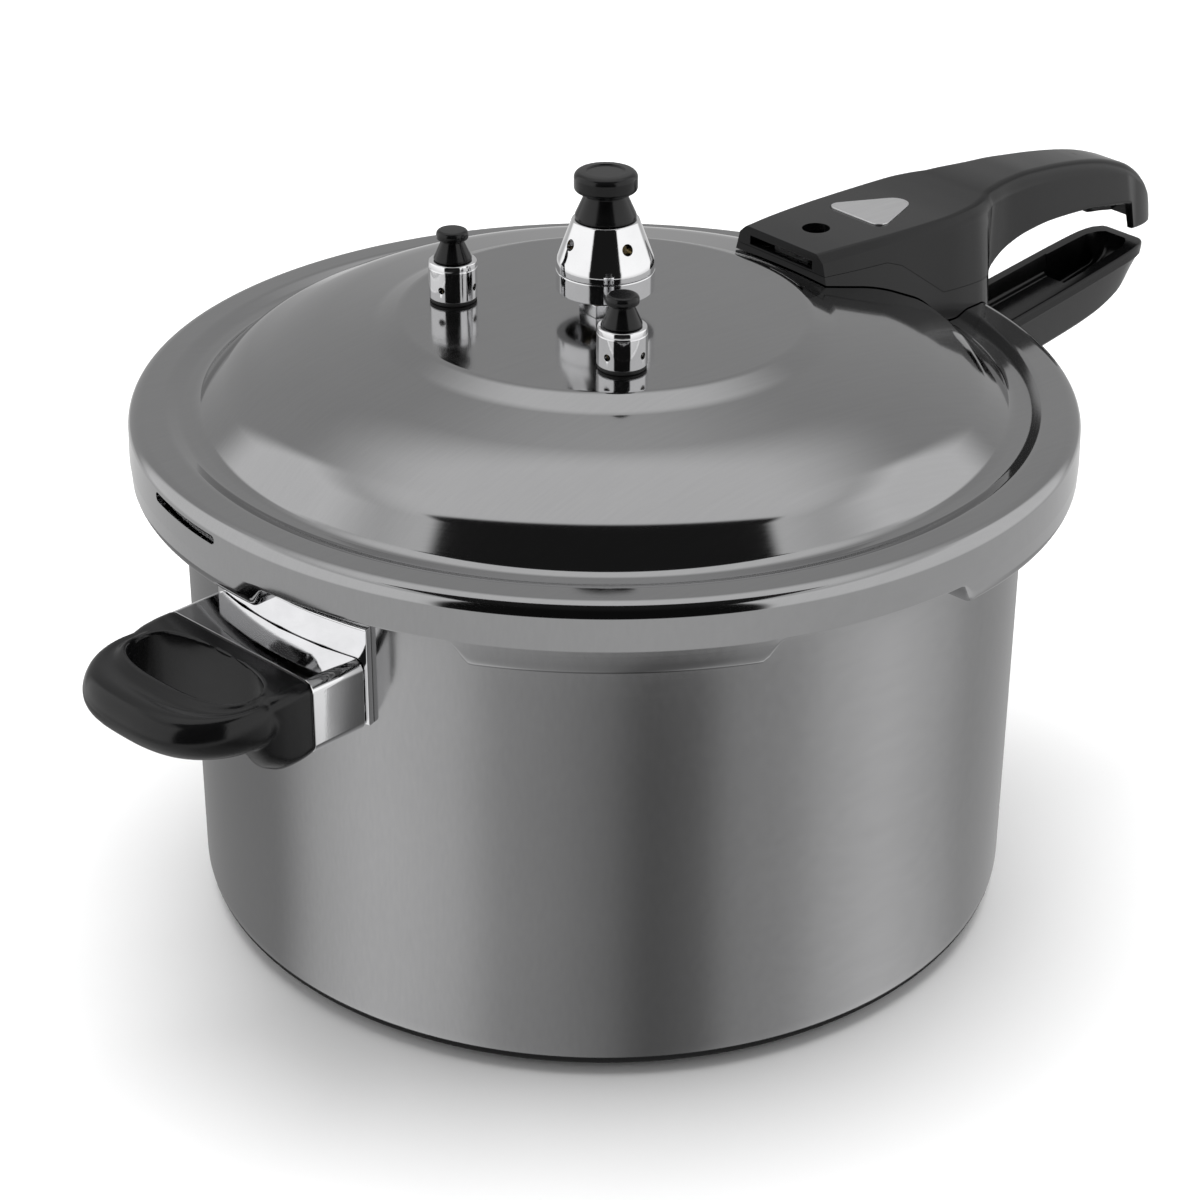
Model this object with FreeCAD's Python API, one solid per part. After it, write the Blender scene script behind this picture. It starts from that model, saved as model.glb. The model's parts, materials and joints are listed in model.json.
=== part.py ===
import FreeCAD, Part
import math
import os
from FreeCAD import Vector

# Stovetop pressure cooker, 26 cm class, in millimetres.
# The origin is the centre of the pot's base. +Z is up and +X runs along the long handles.

# ---------------------------------------------------------------- driving dimensions
POT_RADIUS = 130.0
POT_WALL = 3.0
POT_BOTTOM = 4.5
POT_BASE_ROUND = 11.0
RIM_TOP = 155.0
RIM_BEAD_RADIUS = 132.5
RIM_BEAD_BOTTOM = 149.5
POT_LUG_RADIUS = 140.5
POT_LUG_BOTTOM = 147.2
POT_LUG_TOP = 154.2
POT_LUG_ANGLE = 23.5

LUG_COUNT = 6
LUG_PHASE = -8.0
LID_SHEET = 2.5
LID_TOP = 190.0
SKIRT_RADIUS = 145.5
SKIRT_EDGE = 151.0
LID_LUG_BOTTOM = 143.3
LID_LUG_INNER_RADIUS = 133.3
LID_LUG_ANGLE = 34.0
SLOT_START = 168.5
SLOT_ANGLE = 13.0
SLOT_HEIGHT = 159.0
SLOT_HALF_WIDTH = 1.4

# Outline of the lid's top from its centre to the skirt's edge: radius, height, corner radius.
LID_OUTLINE = [
    (0.0, LID_TOP, 0.0),
    (62.5, LID_TOP, 7.0),
    (70.0, LID_TOP - 3.0, 15.0),
    (95.0, 182.0, 70.0),
    (113.0, 173.7, 28.0),
    (124.6, 163.3, 5.0),
    (129.4, 163.3, 6.0),
    (134.0, 165.0, 6.0),
    (145.1, 165.0, 5.5),
    (SKIRT_RADIUS, SKIRT_EDGE, 0.0),
]

SEAL_INNER_RADIUS = 128.6
SEAL_OUTER_RADIUS = 141.8
SEAL_TOP = 160.5
SEAL_LIP = 1.8

WEIGHT_BOTTOM = 197.0
WEIGHT_RADIUS = 15.0
WEIGHT_BAND_TOP = 203.5
WEIGHT_CONE_TOP = 219.4
WEIGHT_CONE_TOP_RADIUS = 10.1
WEIGHT_KNOB_RADIUS = 9.6
WEIGHT_KNOB_TOP = 234.2
WEIGHT_HOLE_HEIGHT = 211.5
VENT_HEAD_RADIUS = 4.8
VENT_HEAD_TOP = 207.0
RUNNING_GAP = 0.08

VALVE_PLACES = {"a": (131.0, 47.0, 73.5), "b": (-123.0, 44.0, 47.5)}   # azimuth, radius, turn of its holes
VALVE_RADIUS = 7.45
VALVE_TOP = LID_TOP + 13.0
VALVE_STEM_RADIUS = 1.22

FLOAT_X = 87.0
FLOAT_PIN_RADIUS = 1.9
FLOAT_BUSH_TOP = 187.5
FLOAT_BOSS_TOP = 186.5
FLOAT_BOSS_BOTTOM = 179.0

POT_SCREW_X = 150.0

HANDLE_WALL = 2.6
HANDLE_SCREW_X = 153.5
GRIP_SCREW_X = 204.0
GRIP_SCREW_SEAT = 1.5
HEAD_SEAT = 175.0
NECK_FOOT = 158.6
GRIP_COVER_START = 158.4
GRIP_COVER_END = 211.0

BRACKET_INNER_RADIUS = POT_RADIUS + 0.05
BRACKET_SHEET = 2.0
HELPER_AZIMUTH = 187.0
HELPER_HALF_WIDTH = 31.5
HELPER_TOP = 131.5
HELPER_SLEEVE_BOTTOM = 108.5
HELPER_SLEEVE_START = 133.0
HELPER_SLEEVE_END = 147.5
HELPER_TIP = 191.0
HELPER_SCREW_X = 143.2
HELPER_SCREW_Y = 12.0
RIVET_SEAT = 0.12            # keeps a flat rivet head off a curved sheet
RIVET_SHANK = 2.0
LID_STRAP = 1.85
LID_RIVET_SLACK = 0.12
RIVET_HOLE = 2.1
COIL_STEPS = 16              # sections in one turn of a spring

AXIS = Vector(0, 0, 1)
ORIGIN = Vector(0, 0, 0)


# ---------------------------------------------------------------- geometry helpers
def corner_arc(before, corner, after, radius):
    """Start, middle and end of the arc that rounds one corner of an outline."""
    to_before = (before - corner).normalize()
    to_after = (after - corner).normalize()
    half_angle = to_before.getAngle(to_after) / 2
    reach = radius / math.tan(half_angle)
    middle = corner + (to_before + to_after).normalize() * (radius / math.sin(half_angle) - radius)
    return corner + to_before * reach, middle, corner + to_after * reach


def outline_wire(points, place):
    """Closed wire through (a, b) or (a, b, corner radius) points; place turns (a, b) into space."""
    flat = [Vector(point[0], point[1], 0) for point in points]
    radii = [point[2] if len(point) > 2 else 0 for point in points]
    spans = []
    for index, corner in enumerate(flat):
        if radii[index] == 0:
            spans.append((corner, None, corner))
            continue
        after = flat[(index + 1) % len(flat)]
        spans.append(corner_arc(flat[index - 1], corner, after, radii[index]))
    edges = []
    for index, (start, middle, end) in enumerate(spans):
        if middle is not None:
            edges.append(Part.Arc(place(start), place(middle), place(end)).toShape())
        following = spans[(index + 1) % len(spans)][0]
        if end.distanceToPoint(following) > 1e-6:
            edges.append(Part.makeLine(place(end), place(following)))
    return Part.Wire(edges)


def revolved(points, angle=360.0, start=0.0):
    """Solid of revolution about +Z from (radius, height) points, from azimuth start on."""
    face = Part.Face(outline_wire(points, lambda p: Vector(p.x, 0, p.y)))
    solid = face.revolve(ORIGIN, AXIS, angle)
    solid.rotate(ORIGIN, AXIS, start)
    return solid


def upright(points, low, high):
    """Prism with an (x, y) outline between two heights."""
    face = Part.Face(outline_wire(points, lambda p: Vector(p.x, p.y, low)))
    return face.extrude(Vector(0, 0, high - low))


def sideways(points, half_width):
    """Prism with an (x, z) outline, centred on the XZ plane."""
    face = Part.Face(outline_wire(points, lambda p: Vector(p.x, -half_width, p.y)))
    return face.extrude(Vector(0, 2 * half_width, 0))


def block(low, high):
    size = [high[i] - low[i] for i in range(3)]
    return Part.makeBox(size[0], size[1], size[2], Vector(low[0], low[1], low[2]))


def disc(radius, low, high, x=0.0, y=0.0):
    return Part.makeCylinder(radius, high - low, Vector(x, y, low))


def tube(inner, outer, low, high, x=0.0, y=0.0):
    return disc(outer, low, high, x, y).cut(disc(inner, low - 1, high + 1, x, y))


def hexagon(across_flats, low, high):
    corner = across_flats / math.sqrt(3)
    points = []
    for step in range(6):
        angle = math.radians(60 * step + 30)
        points.append((corner * math.cos(angle), corner * math.sin(angle)))
    return upright(points, low, high)


def moved(shape, x=0.0, y=0.0, z=0.0):
    copy = shape.copy()
    copy.translate(Vector(x, y, z))
    return copy


def turned(shape, azimuth):
    copy = shape.copy()
    copy.rotate(ORIGIN, AXIS, azimuth)
    return copy


def fused(shapes):
    return shapes[0].multiFuse(shapes[1:]).removeSplitter()


def aimed(shape, point, direction):
    """Move a shape built along +Z from the origin to a point, and turn it along a direction."""
    copy = shape.copy()
    copy.Placement = FreeCAD.Placement(point, FreeCAD.Rotation(AXIS, direction))
    return copy


def coil(radius, wire_radius, low, high, turns):
    """Helical spring about +Z between two heights, of a wire with eight flats."""
    steps = turns * COIL_STEPS
    rise = (high - low - 2 * wire_radius) / steps
    wires = []
    for step in range(steps + 1):
        angle = 2 * math.pi * step / COIL_STEPS
        outward = Vector(math.cos(angle), math.sin(angle), 0)
        centre = outward * radius + AXIS * (low + wire_radius + rise * step)
        corners = []
        for side in range(8):
            tilt = math.pi / 4 * side
            across = outward * math.cos(tilt) + AXIS * math.sin(tilt)
            corners.append(centre + across * wire_radius)
        wires.append(Part.makePolygon(corners + [corners[0]]))
    return Part.makeLoft(wires, True, True)


def rivet(point, direction, grip, shank_radius, head_radius):
    """Domed rivet: its shank starts at point and runs back against direction for the grip length."""
    dome = head_radius * 0.45
    head = moved(Part.makeCone(head_radius, head_radius * 0.55, dome), z=RIVET_SEAT)
    foot = moved(Part.makeCone(head_radius * 0.55, head_radius, dome), z=-grip - dome - RIVET_SEAT)
    shank = disc(shank_radius, -grip - RIVET_SEAT - 0.1, RIVET_SEAT + 0.1)
    return aimed(fused([shank, head, foot]), point, direction)


def screw(point, direction, shank_radius, length, head_radius, head_height):
    """Pan-head screw with a crossed recess; direction points from the head to the tip."""
    tip_start = head_height + length - shank_radius
    body = fused([
        Part.makeCone(head_radius * 0.8, head_radius, head_height * 0.4),
        disc(head_radius, head_height * 0.4, head_height),
        disc(shank_radius, head_height - 0.2, tip_start),
        moved(Part.makeCone(shank_radius, shank_radius * 0.3, shank_radius), z=tip_start),
    ])
    arm = head_radius * 0.6
    slot = head_radius * 0.12
    recess = fused([
        block((-arm, -slot, -1), (arm, slot, head_height * 0.6)),
        block((-slot, -arm, -1), (slot, arm, head_height * 0.6)),
    ])
    return aimed(body.cut(recess), point, direction)


def inset_outline(points, thickness):
    """The open outline moved by thickness to the right of its direction, with its radii adjusted."""
    flat = [Vector(p[0], p[1], 0) for p in points]
    runs = [(flat[i + 1] - flat[i]).normalize() for i in range(len(flat) - 1)]
    normals = [Vector(run.y, -run.x, 0) for run in runs]
    moved_points = []
    for index, (corner, source) in enumerate(zip(flat, points)):
        first = normals[max(index - 1, 0)]
        second = normals[min(index, len(normals) - 1)]
        shift = (first + second) * (thickness / (1 + first.dot(second)))
        radius = source[2]
        if radius > 0:
            turns_right = runs[index - 1].cross(runs[index]).z < 0
            radius += -thickness if turns_right else thickness
        moved_points.append((corner.x + shift.x, corner.y + shift.y, radius))
    return moved_points


def section_loft(stations):
    """Ruled solid through sections given as (x, [(y, z), ...]) with equal point counts."""
    wires = []
    for x, points in stations:
        corners = [Vector(x, y, z) for y, z in points]
        wires.append(Part.makePolygon(corners + [corners[0]]))
    return Part.makeLoft(wires, True, True)


# ---------------------------------------------------------------- pot
def make_pot_shell():
    inner_radius = POT_RADIUS - POT_WALL
    body = revolved([
        (0, 0), (POT_RADIUS, 0, POT_BASE_ROUND), (POT_RADIUS, RIM_BEAD_BOTTOM, 1.5),
        (RIM_BEAD_RADIUS, RIM_BEAD_BOTTOM, 1.0), (RIM_BEAD_RADIUS, RIM_TOP, 1.5),
        (inner_radius, RIM_TOP, 1.2), (inner_radius, POT_BOTTOM, 8.0), (0, POT_BOTTOM),
    ])
    lug = [
        (POT_RADIUS - 1, POT_LUG_BOTTOM), (POT_LUG_RADIUS, POT_LUG_BOTTOM, 1.2),
        (POT_LUG_RADIUS, POT_LUG_TOP, 1.5), (POT_RADIUS - 1, POT_LUG_TOP),
    ]
    parts = [body]
    for index in range(LUG_COUNT):
        centre = LUG_PHASE + index * 360 / LUG_COUNT
        parts.append(revolved(lug, POT_LUG_ANGLE, centre - POT_LUG_ANGLE / 2))
    return fused(parts)


def wall_plate(half_angle, low, high, thickness):
    """Curved plate that lies on the pot wall, centred on +X."""
    outer = BRACKET_INNER_RADIUS + thickness
    profile = [(BRACKET_INNER_RADIUS, low), (outer, low), (outer, high), (BRACKET_INNER_RADIUS, high)]
    return revolved(profile, 2 * half_angle, -half_angle)


def wall_rivets(angles, heights, plate_thickness):
    """Rivets through the pot wall and a wall plate, centred on +X."""
    grip = POT_WALL + plate_thickness + BRACKET_INNER_RADIUS - POT_RADIUS
    solids = []
    for angle in angles:
        for height in heights:
            outward = Vector(math.cos(math.radians(angle)), math.sin(math.radians(angle)), 0)
            start = outward * (POT_RADIUS - POT_WALL + grip) + Vector(0, 0, height)
            solids.append(rivet(start, outward, grip, RIVET_SHANK, 3.6))
    return solids


def rivet_holes(rivets):
    """Shank-sized cutters for a list of wall rivets."""
    holes = []
    for solid in rivets:
        box = solid.BoundBox
        centre = Vector(box.Center.x, box.Center.y, 0)
        outward = Vector(centre).normalize()
        start = outward * (POT_RADIUS - POT_WALL - 2) + Vector(0, 0, box.Center.z)
        holes.append(Part.makeCylinder(RIVET_HOLE, POT_WALL + 8, start, outward))
    return holes


def lower_section(x, low, high, low_half, high_half):
    """One section of the pot's long handle: a rim band over a body that narrows downwards."""
    band = min(4.0, (high - low) * 0.3)
    step = 0.8
    return x, [
        (-low_half, low), (low_half, low), (high_half - step, high - band), (high_half, high - band),
        (high_half, high), (-high_half, high), (-high_half, high - band), (step - high_half, high - band),
    ]


def make_lower_handle():
    outer = section_loft([
        lower_section(133.0, 120.4, 141.4, 9.5, 14.5),
        lower_section(147.2, 122.9, 141.4, 9.5, 14.5),
        lower_section(148.6, 123.1, 144.4, 9.5, 14.5),
        lower_section(170.0, 126.8, 148.2, 9.3, 14.3),
        lower_section(195.0, 131.2, 152.6, 9.0, 14.0),
        lower_section(215.0, 135.6, 156.2, 8.6, 13.6),
        lower_section(227.0, 140.6, 158.3, 8.0, 13.0),
        lower_section(233.5, 146.6, 159.2, 6.6, 11.6),
        lower_section(237.5, 152.4, 159.4, 4.6, 8.6),
    ])
    channel = section_loft([
        (150.5, [(-8.0, 138.2), (8.0, 138.2), (10.6, 147.0), (-10.6, 147.0)]),
        (208.5, [(-7.4, 148.4), (7.4, 148.4), (10.2, 157.2), (-10.2, 157.2)]),
    ])
    pocket = section_loft([
        (206.5, [(-6.6, 141.6), (6.6, 141.6), (9.8, 158.0), (-9.8, 158.0)]),
        (227.5, [(-5.6, 147.0), (5.6, 147.0), (9.0, 162.0), (-9.0, 162.0)]),
        (233.0, [(-4.0, 153.0), (4.0, 153.0), (6.6, 163.0), (-6.6, 163.0)]),
    ])
    pot_side = disc(BRACKET_INNER_RADIUS + BRACKET_SHEET + 0.1, 100, 160)
    tongue_room = block((130, -6.2, 125.8), (162.2, 6.2, 134.2))
    screw_hole = disc(2.1, 118, 127, POT_SCREW_X)
    head_room = disc(4.2, 118, 124.4, POT_SCREW_X)
    handle = outer.cut(fused([channel, pocket])).cut(pot_side).cut(tongue_room)
    return handle.cut(screw_hole).cut(head_room)


def make_lower_bracket(rivets):
    plate = wall_plate(9.5, 114.0, 141.0, BRACKET_SHEET)
    tongue = block((131.5, -6.0, 126.0), (162.0, 6.0, 134.0))
    tongue = tongue.cut(disc(1.9, 120, 133, POT_SCREW_X))
    bracket = fused([plate, tongue.cut(disc(BRACKET_INNER_RADIUS + 1, 100, 160))])
    for hole in rivet_holes(rivets):
        bracket = bracket.cut(hole)
    return bracket


# ---------------------------------------------------------------- helper handle, built along +X
def make_helper_sleeve():
    outer = block(
        (128, -HELPER_HALF_WIDTH, HELPER_SLEEVE_BOTTOM), (HELPER_SLEEVE_END, HELPER_HALF_WIDTH, HELPER_TOP))
    long_edges = [edge for edge in outer.Edges if edge.BoundBox.XLength > 10]
    outer = outer.makeFillet(3.5, long_edges)
    wall = 1.2
    inner = block(
        (120, wall - HELPER_HALF_WIDTH, HELPER_SLEEVE_BOTTOM + wall),
        (HELPER_SLEEVE_END + 1, HELPER_HALF_WIDTH - wall, HELPER_TOP - wall),
    )
    return outer.cut(inner).cut(disc(HELPER_SLEEVE_START, 100, 140))


def make_helper_handle():
    wall = 1.3
    tenon = block(
        (138.5, wall - HELPER_HALF_WIDTH, HELPER_SLEEVE_BOTTOM + wall),
        (149.0, HELPER_HALF_WIDTH - wall, HELPER_TOP - wall),
    )
    body = sideways([
        (HELPER_SLEEVE_END + 0.1, HELPER_TOP), (166.0, HELPER_TOP), (166.0, 118.0, 6.0),
        (162.0, 106.8, 7.0), (HELPER_SLEEVE_END + 0.1, 107.6),
    ], HELPER_HALF_WIDTH)
    side_edges = [
        edge for edge in body.Edges
        if abs(edge.BoundBox.YMin) > 30 and edge.BoundBox.YLength < 0.1 and edge.BoundBox.XLength > 3
    ]
    body = body.makeFillet(3.0, side_edges)
    loop = upright([
        (150.0, -29.0, 0), (162.0, -26.5, 10.0), (174.0, -31.5, 13.0), (HELPER_TIP, -20.0, 22.0),
        (HELPER_TIP, 20.0, 22.0), (174.0, 31.5, 13.0), (162.0, 26.5, 10.0), (150.0, 29.0, 0),
    ], 117.5, HELPER_TOP - 0.6)
    loop_edges = [
        edge for edge in loop.Edges
        if edge.BoundBox.ZLength < 0.1 and edge.BoundBox.XMax > 150.5
    ]
    loop = loop.makeFillet(4.5, loop_edges)
    finger_hole = upright([
        (153.0, -24.5, 9.5), (173.0, -24.5, 9.5), (173.0, 24.5, 9.5), (153.0, 24.5, 9.5),
    ], 95.0, 145.0)
    dish = upright([
        (151.0, -26.5, 10.5), (175.0, -26.5, 10.5), (175.0, 26.5, 10.5), (151.0, 26.5, 10.5),
    ], HELPER_TOP - 2.2, 145.0)
    tongue_room = block((130, -20.3, 113.2), (149.2, 20.3, 126.8))
    solid = fused([tenon, body, loop]).cut(finger_hole).cut(dish).cut(tongue_room)
    for side in (-1, 1):
        solid = solid.cut(disc(2.1, 100, 115, HELPER_SCREW_X, HELPER_SCREW_Y * side))
    return solid


def make_helper_bracket(rivets):
    plate = wall_plate(14.2, HELPER_SLEEVE_BOTTOM + 2.0, 141.4, 2.4)
    tongue = block((131.5, -20.0, 113.5), (149.0, 20.0, 126.5))
    tongue = tongue.cut(disc(BRACKET_INNER_RADIUS + 1, 100, 160))
    for side in (-1, 1):
        tongue = tongue.cut(disc(1.9, 110, 124, HELPER_SCREW_X, HELPER_SCREW_Y * side))
    bracket = fused([plate, tongue])
    for hole in rivet_holes(rivets):
        bracket = bracket.cut(hole)
    return bracket


def make_helper_screws():
    """Two screws that come up through the sleeve's floor into the bracket's tongue."""
    solids = []
    for side in (-1, 1):
        start = Vector(HELPER_SCREW_X, HELPER_SCREW_Y * side, HELPER_SLEEVE_BOTTOM - 1.6)
        solids.append(screw(start, AXIS, 1.9, 13.0, 3.8, 1.6))
    return solids


# ---------------------------------------------------------------- lid
def lid_envelope(gap, bottom=SKIRT_EDGE - 1):
    """Solid that fills the lid's outside, grown by a gap."""
    grown = inset_outline(LID_OUTLINE, -gap)
    return revolved([(0, bottom)] + grown[:-1] + [(grown[-1][0], bottom)])


def lid_height(radius):
    """Height of the lid's outer surface along the straight runs of its outline."""
    for (r0, z0, _), (r1, z1, _) in zip(LID_OUTLINE[:-1], LID_OUTLINE[1:]):
        if r0 <= radius <= r1:
            return z0 + (z1 - z0) * (radius - r0) / (r1 - r0)
    return SKIRT_EDGE


def lid_normal(radius):
    slope = (lid_height(radius + 1) - lid_height(radius - 1)) / 2
    return Vector(-slope, 0, 1).normalize()


def make_lid_shell(rivet_points):
    inner = inset_outline(LID_OUTLINE, LID_SHEET)
    sheet = revolved(LID_OUTLINE + list(reversed(inner)))
    lug = [
        (SKIRT_RADIUS, SKIRT_EDGE + 1), (SKIRT_RADIUS - 0.3, LID_LUG_BOTTOM, 3.6),
        (LID_LUG_INNER_RADIUS, LID_LUG_BOTTOM, 0.8), (LID_LUG_INNER_RADIUS, LID_LUG_BOTTOM + LID_SHEET, 0.8),
        (SKIRT_RADIUS - LID_SHEET - 0.3, LID_LUG_BOTTOM + LID_SHEET, 1.1),
        (SKIRT_RADIUS - LID_SHEET, SKIRT_EDGE + 1),
    ]
    retaining_ridge = revolved([(125.4, 157.6), (127.6, 157.6, 0.6), (127.6, 162.5), (125.4, 162.5)])
    float_boss = disc(8.5, FLOAT_BOSS_BOTTOM, FLOAT_BOSS_TOP, FLOAT_X)
    parts = [sheet, retaining_ridge, float_boss]
    for index in range(LUG_COUNT):
        centre = LUG_PHASE + index * 360 / LUG_COUNT
        parts.append(revolved(lug, LID_LUG_ANGLE, centre - LID_LUG_ANGLE / 2))
    shell = fused(parts)
    shell = shell.cut(disc(5.2, 170, 200)).cut(disc(3.6, 170, 200, FLOAT_X))
    for azimuth, radius, _ in VALVE_PLACES.values():
        shell = shell.cut(turned(disc(4.2, 170, 200, radius), azimuth))
    for point in rivet_points:
        normal = lid_normal(math.hypot(point.x, point.y))
        shell = shell.cut(Part.makeCylinder(RIVET_HOLE, 12, point - normal * 8, normal))
    slot_inside = SKIRT_RADIUS - 6
    slot_outside = SKIRT_RADIUS + 3
    slot_low = SLOT_HEIGHT - SLOT_HALF_WIDTH
    slot_high = SLOT_HEIGHT + SLOT_HALF_WIDTH
    slot_profile = [
        (slot_inside, slot_low), (slot_outside, slot_low),
        (slot_outside, slot_high), (slot_inside, slot_high),
    ]
    shell = shell.cut(revolved(slot_profile, SLOT_ANGLE, SLOT_START))
    slot_foot = Vector(slot_inside, 0, SLOT_HEIGHT)
    slot_end = Part.makeCylinder(SLOT_HALF_WIDTH, slot_outside - slot_inside, slot_foot, Vector(1, 0, 0))
    for azimuth in (SLOT_START, SLOT_START + SLOT_ANGLE):
        shell = shell.cut(turned(slot_end, azimuth))
    return shell


def make_sealing_ring():
    """C-shaped rubber ring, open towards the centre, between the pot's rim and the lid's channel."""
    web = 3.0
    return revolved([
        (SEAL_INNER_RADIUS, RIM_TOP + 0.05), (SEAL_OUTER_RADIUS, RIM_TOP + 0.05, 0.8),
        (SEAL_OUTER_RADIUS, SEAL_TOP, 1.2), (SEAL_INNER_RADIUS, SEAL_TOP),
        (SEAL_INNER_RADIUS, SEAL_TOP - SEAL_LIP), (SEAL_OUTER_RADIUS - web, SEAL_TOP - SEAL_LIP, 0.6),
        (SEAL_OUTER_RADIUS - web, RIM_TOP + SEAL_LIP, 0.6), (SEAL_INNER_RADIUS, RIM_TOP + SEAL_LIP),
    ])


# ---------------------------------------------------------------- vent and weight
def make_vent_parts():
    bore = disc(1.6, 170, 215)
    pipe = fused([
        disc(5.0, 178.5, 191), hexagon(14.0, LID_TOP, 194.0), disc(3.8, 193, 201),
        revolved([
            (0, 200), (3.8, 200), (VENT_HEAD_RADIUS, 201.2), (VENT_HEAD_RADIUS, VENT_HEAD_TOP, 0.8),
            (0, VENT_HEAD_TOP),
        ]),
    ]).cut(bore)
    washer = tube(5.05, 9.0, LID_TOP - LID_SHEET - 1.6, LID_TOP - LID_SHEET)
    nut = hexagon(16.0, 181.9, LID_TOP - LID_SHEET - 1.6).cut(disc(5.0, 170, 200))
    cap = revolved([
        (0, 172.0), (10.3, 172.0, 2.0), (10.3, 185.2), (9.26, 185.2), (9.26, 172.9, 1.2), (0, 172.9),
    ])
    for index in range(8):
        hole = Part.makeCylinder(1.3, 4, Vector(8.2, 0, 176.6), Vector(1, 0, 0))
        cap = cap.cut(turned(hole, index * 45))
    for index in range(6):
        cap = cap.cut(turned(disc(1.2, 170, 175, 5.4), index * 60))
    return pipe, washer, nut, cap


def make_weight_parts():
    base_ring = revolved([
        (12.2, WEIGHT_BOTTOM), (WEIGHT_RADIUS, WEIGHT_BOTTOM, 0.6), (WEIGHT_RADIUS, WEIGHT_BAND_TOP, 0.3),
        (12.2, WEIGHT_BAND_TOP),
    ])
    body = revolved([
        (12.2, WEIGHT_BAND_TOP + 0.1), (WEIGHT_RADIUS - 0.1, WEIGHT_BAND_TOP + 0.1, 0.4),
        (WEIGHT_RADIUS - 0.1, WEIGHT_BAND_TOP + 2.9, 12.0),
        (WEIGHT_CONE_TOP_RADIUS, WEIGHT_CONE_TOP, 0.8), (4.0, WEIGHT_CONE_TOP), (4.0, 214.5),
        (8.2, 214.5, 1.0), (12.2, 205.0),
    ])
    for index in range(4):
        hole = Part.makeCylinder(1.8, 14, Vector(6, 0, WEIGHT_HOLE_HEIGHT), Vector(1, 0, 0.25))
        body = body.cut(turned(hole, index * 90 - 7.5))
    guide = VENT_HEAD_RADIUS + RUNNING_GAP
    core = revolved([
        (0, VENT_HEAD_TOP - 1.2), (0.4, VENT_HEAD_TOP - 1.2), (1.4, VENT_HEAD_TOP + 0.3),
        (guide, VENT_HEAD_TOP + 0.3), (guide, 202.2), (6.9, 202.2, 0.5), (6.9, 214.4),
        (3.95, 214.4), (3.95, 219.0), (0, 219.0),
    ])
    knob = revolved([
        (0, WEIGHT_CONE_TOP + 0.1), (9.4, WEIGHT_CONE_TOP + 0.1, 0.4), (9.2, 220.8, 0.5), (6.5, 226.8, 1.0),
        (6.9, 228.0, 0.6), (WEIGHT_KNOB_RADIUS, 228.1, 2.9), (WEIGHT_KNOB_RADIUS, WEIGHT_KNOB_TOP - 0.2, 3.0),
        (5.9, WEIGHT_KNOB_TOP, 0.2), (5.6, WEIGHT_KNOB_TOP - 0.4, 0.2), (0, WEIGHT_KNOB_TOP - 0.4),
    ])
    return base_ring, body, core, knob


# ---------------------------------------------------------------- small safety valves, built at the origin
def make_valve_parts(hole_turn):
    ring_top = LID_TOP + 1.2
    gasket = tube(4.3, VALVE_RADIUS - 0.25, LID_TOP, ring_top)
    seat = fused([
        disc(4.0, 180.5, ring_top + 0.1), disc(6.1, ring_top, ring_top + 1.8),
    ]).cut(disc(1.4, 170, 200))
    washer = tube(4.1, 7.0, LID_TOP - LID_SHEET - 1.2, LID_TOP - LID_SHEET)
    nut = hexagon(12.0, 182.3, LID_TOP - LID_SHEET - 1.2).cut(disc(4.0, 170, 200))
    bore = VALVE_STEM_RADIUS + RUNNING_GAP
    housing = revolved([
        (6.2, ring_top), (VALVE_RADIUS, ring_top, 0.4), (VALVE_RADIUS, LID_TOP + 10.8, 0.2),
        (VALVE_RADIUS - 0.3, LID_TOP + 11.0), (VALVE_RADIUS, LID_TOP + 11.2, 0.05),
        (VALVE_RADIUS - 0.2, VALVE_TOP - 0.1, 1.2), (6.3, VALVE_TOP, 0.1),
        (bore, VALVE_TOP), (bore, VALVE_TOP - 2.0), (6.2, VALVE_TOP - 2.0),
    ])
    for index in range(4):
        hole = Part.makeCylinder(1.1, 6, Vector(4, 0, LID_TOP + 5.2), Vector(1, 0, 0))
        housing = housing.cut(turned(hole, index * 90 + hole_turn))
    stem = fused([
        revolved([(0, ring_top + 1.2), (0.5, ring_top + 1.2), (1.3, ring_top + 1.85), (3.4, ring_top + 1.85),
                  (3.4, ring_top + 3.2), (0, ring_top + 3.2)]),
        disc(VALVE_STEM_RADIUS, ring_top + 3.0, VALVE_TOP + 7.0),
    ])
    spring = coil(2.4, 0.35, ring_top + 3.25, VALVE_TOP - 2.05, 4)
    knob = revolved([
        (VALVE_STEM_RADIUS, VALVE_TOP + 0.15), (5.9, VALVE_TOP + 0.15, 0.4), (5.8, VALVE_TOP + 0.9, 0.3),
        (3.5, VALVE_TOP + 6.0, 0.6), (3.7, VALVE_TOP + 6.5, 0.3), (4.9, VALVE_TOP + 6.6, 1.2),
        (4.9, VALVE_TOP + 9.5, 1.2), (0, VALVE_TOP + 9.5), (0, VALVE_TOP + 7.0),
        (VALVE_STEM_RADIUS, VALVE_TOP + 7.0),
    ])
    return {
        "gasket": gasket, "seat": seat, "washer": washer, "nut": nut,
        "housing": housing, "stem": stem, "spring": spring, "knob": knob,
    }


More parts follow.
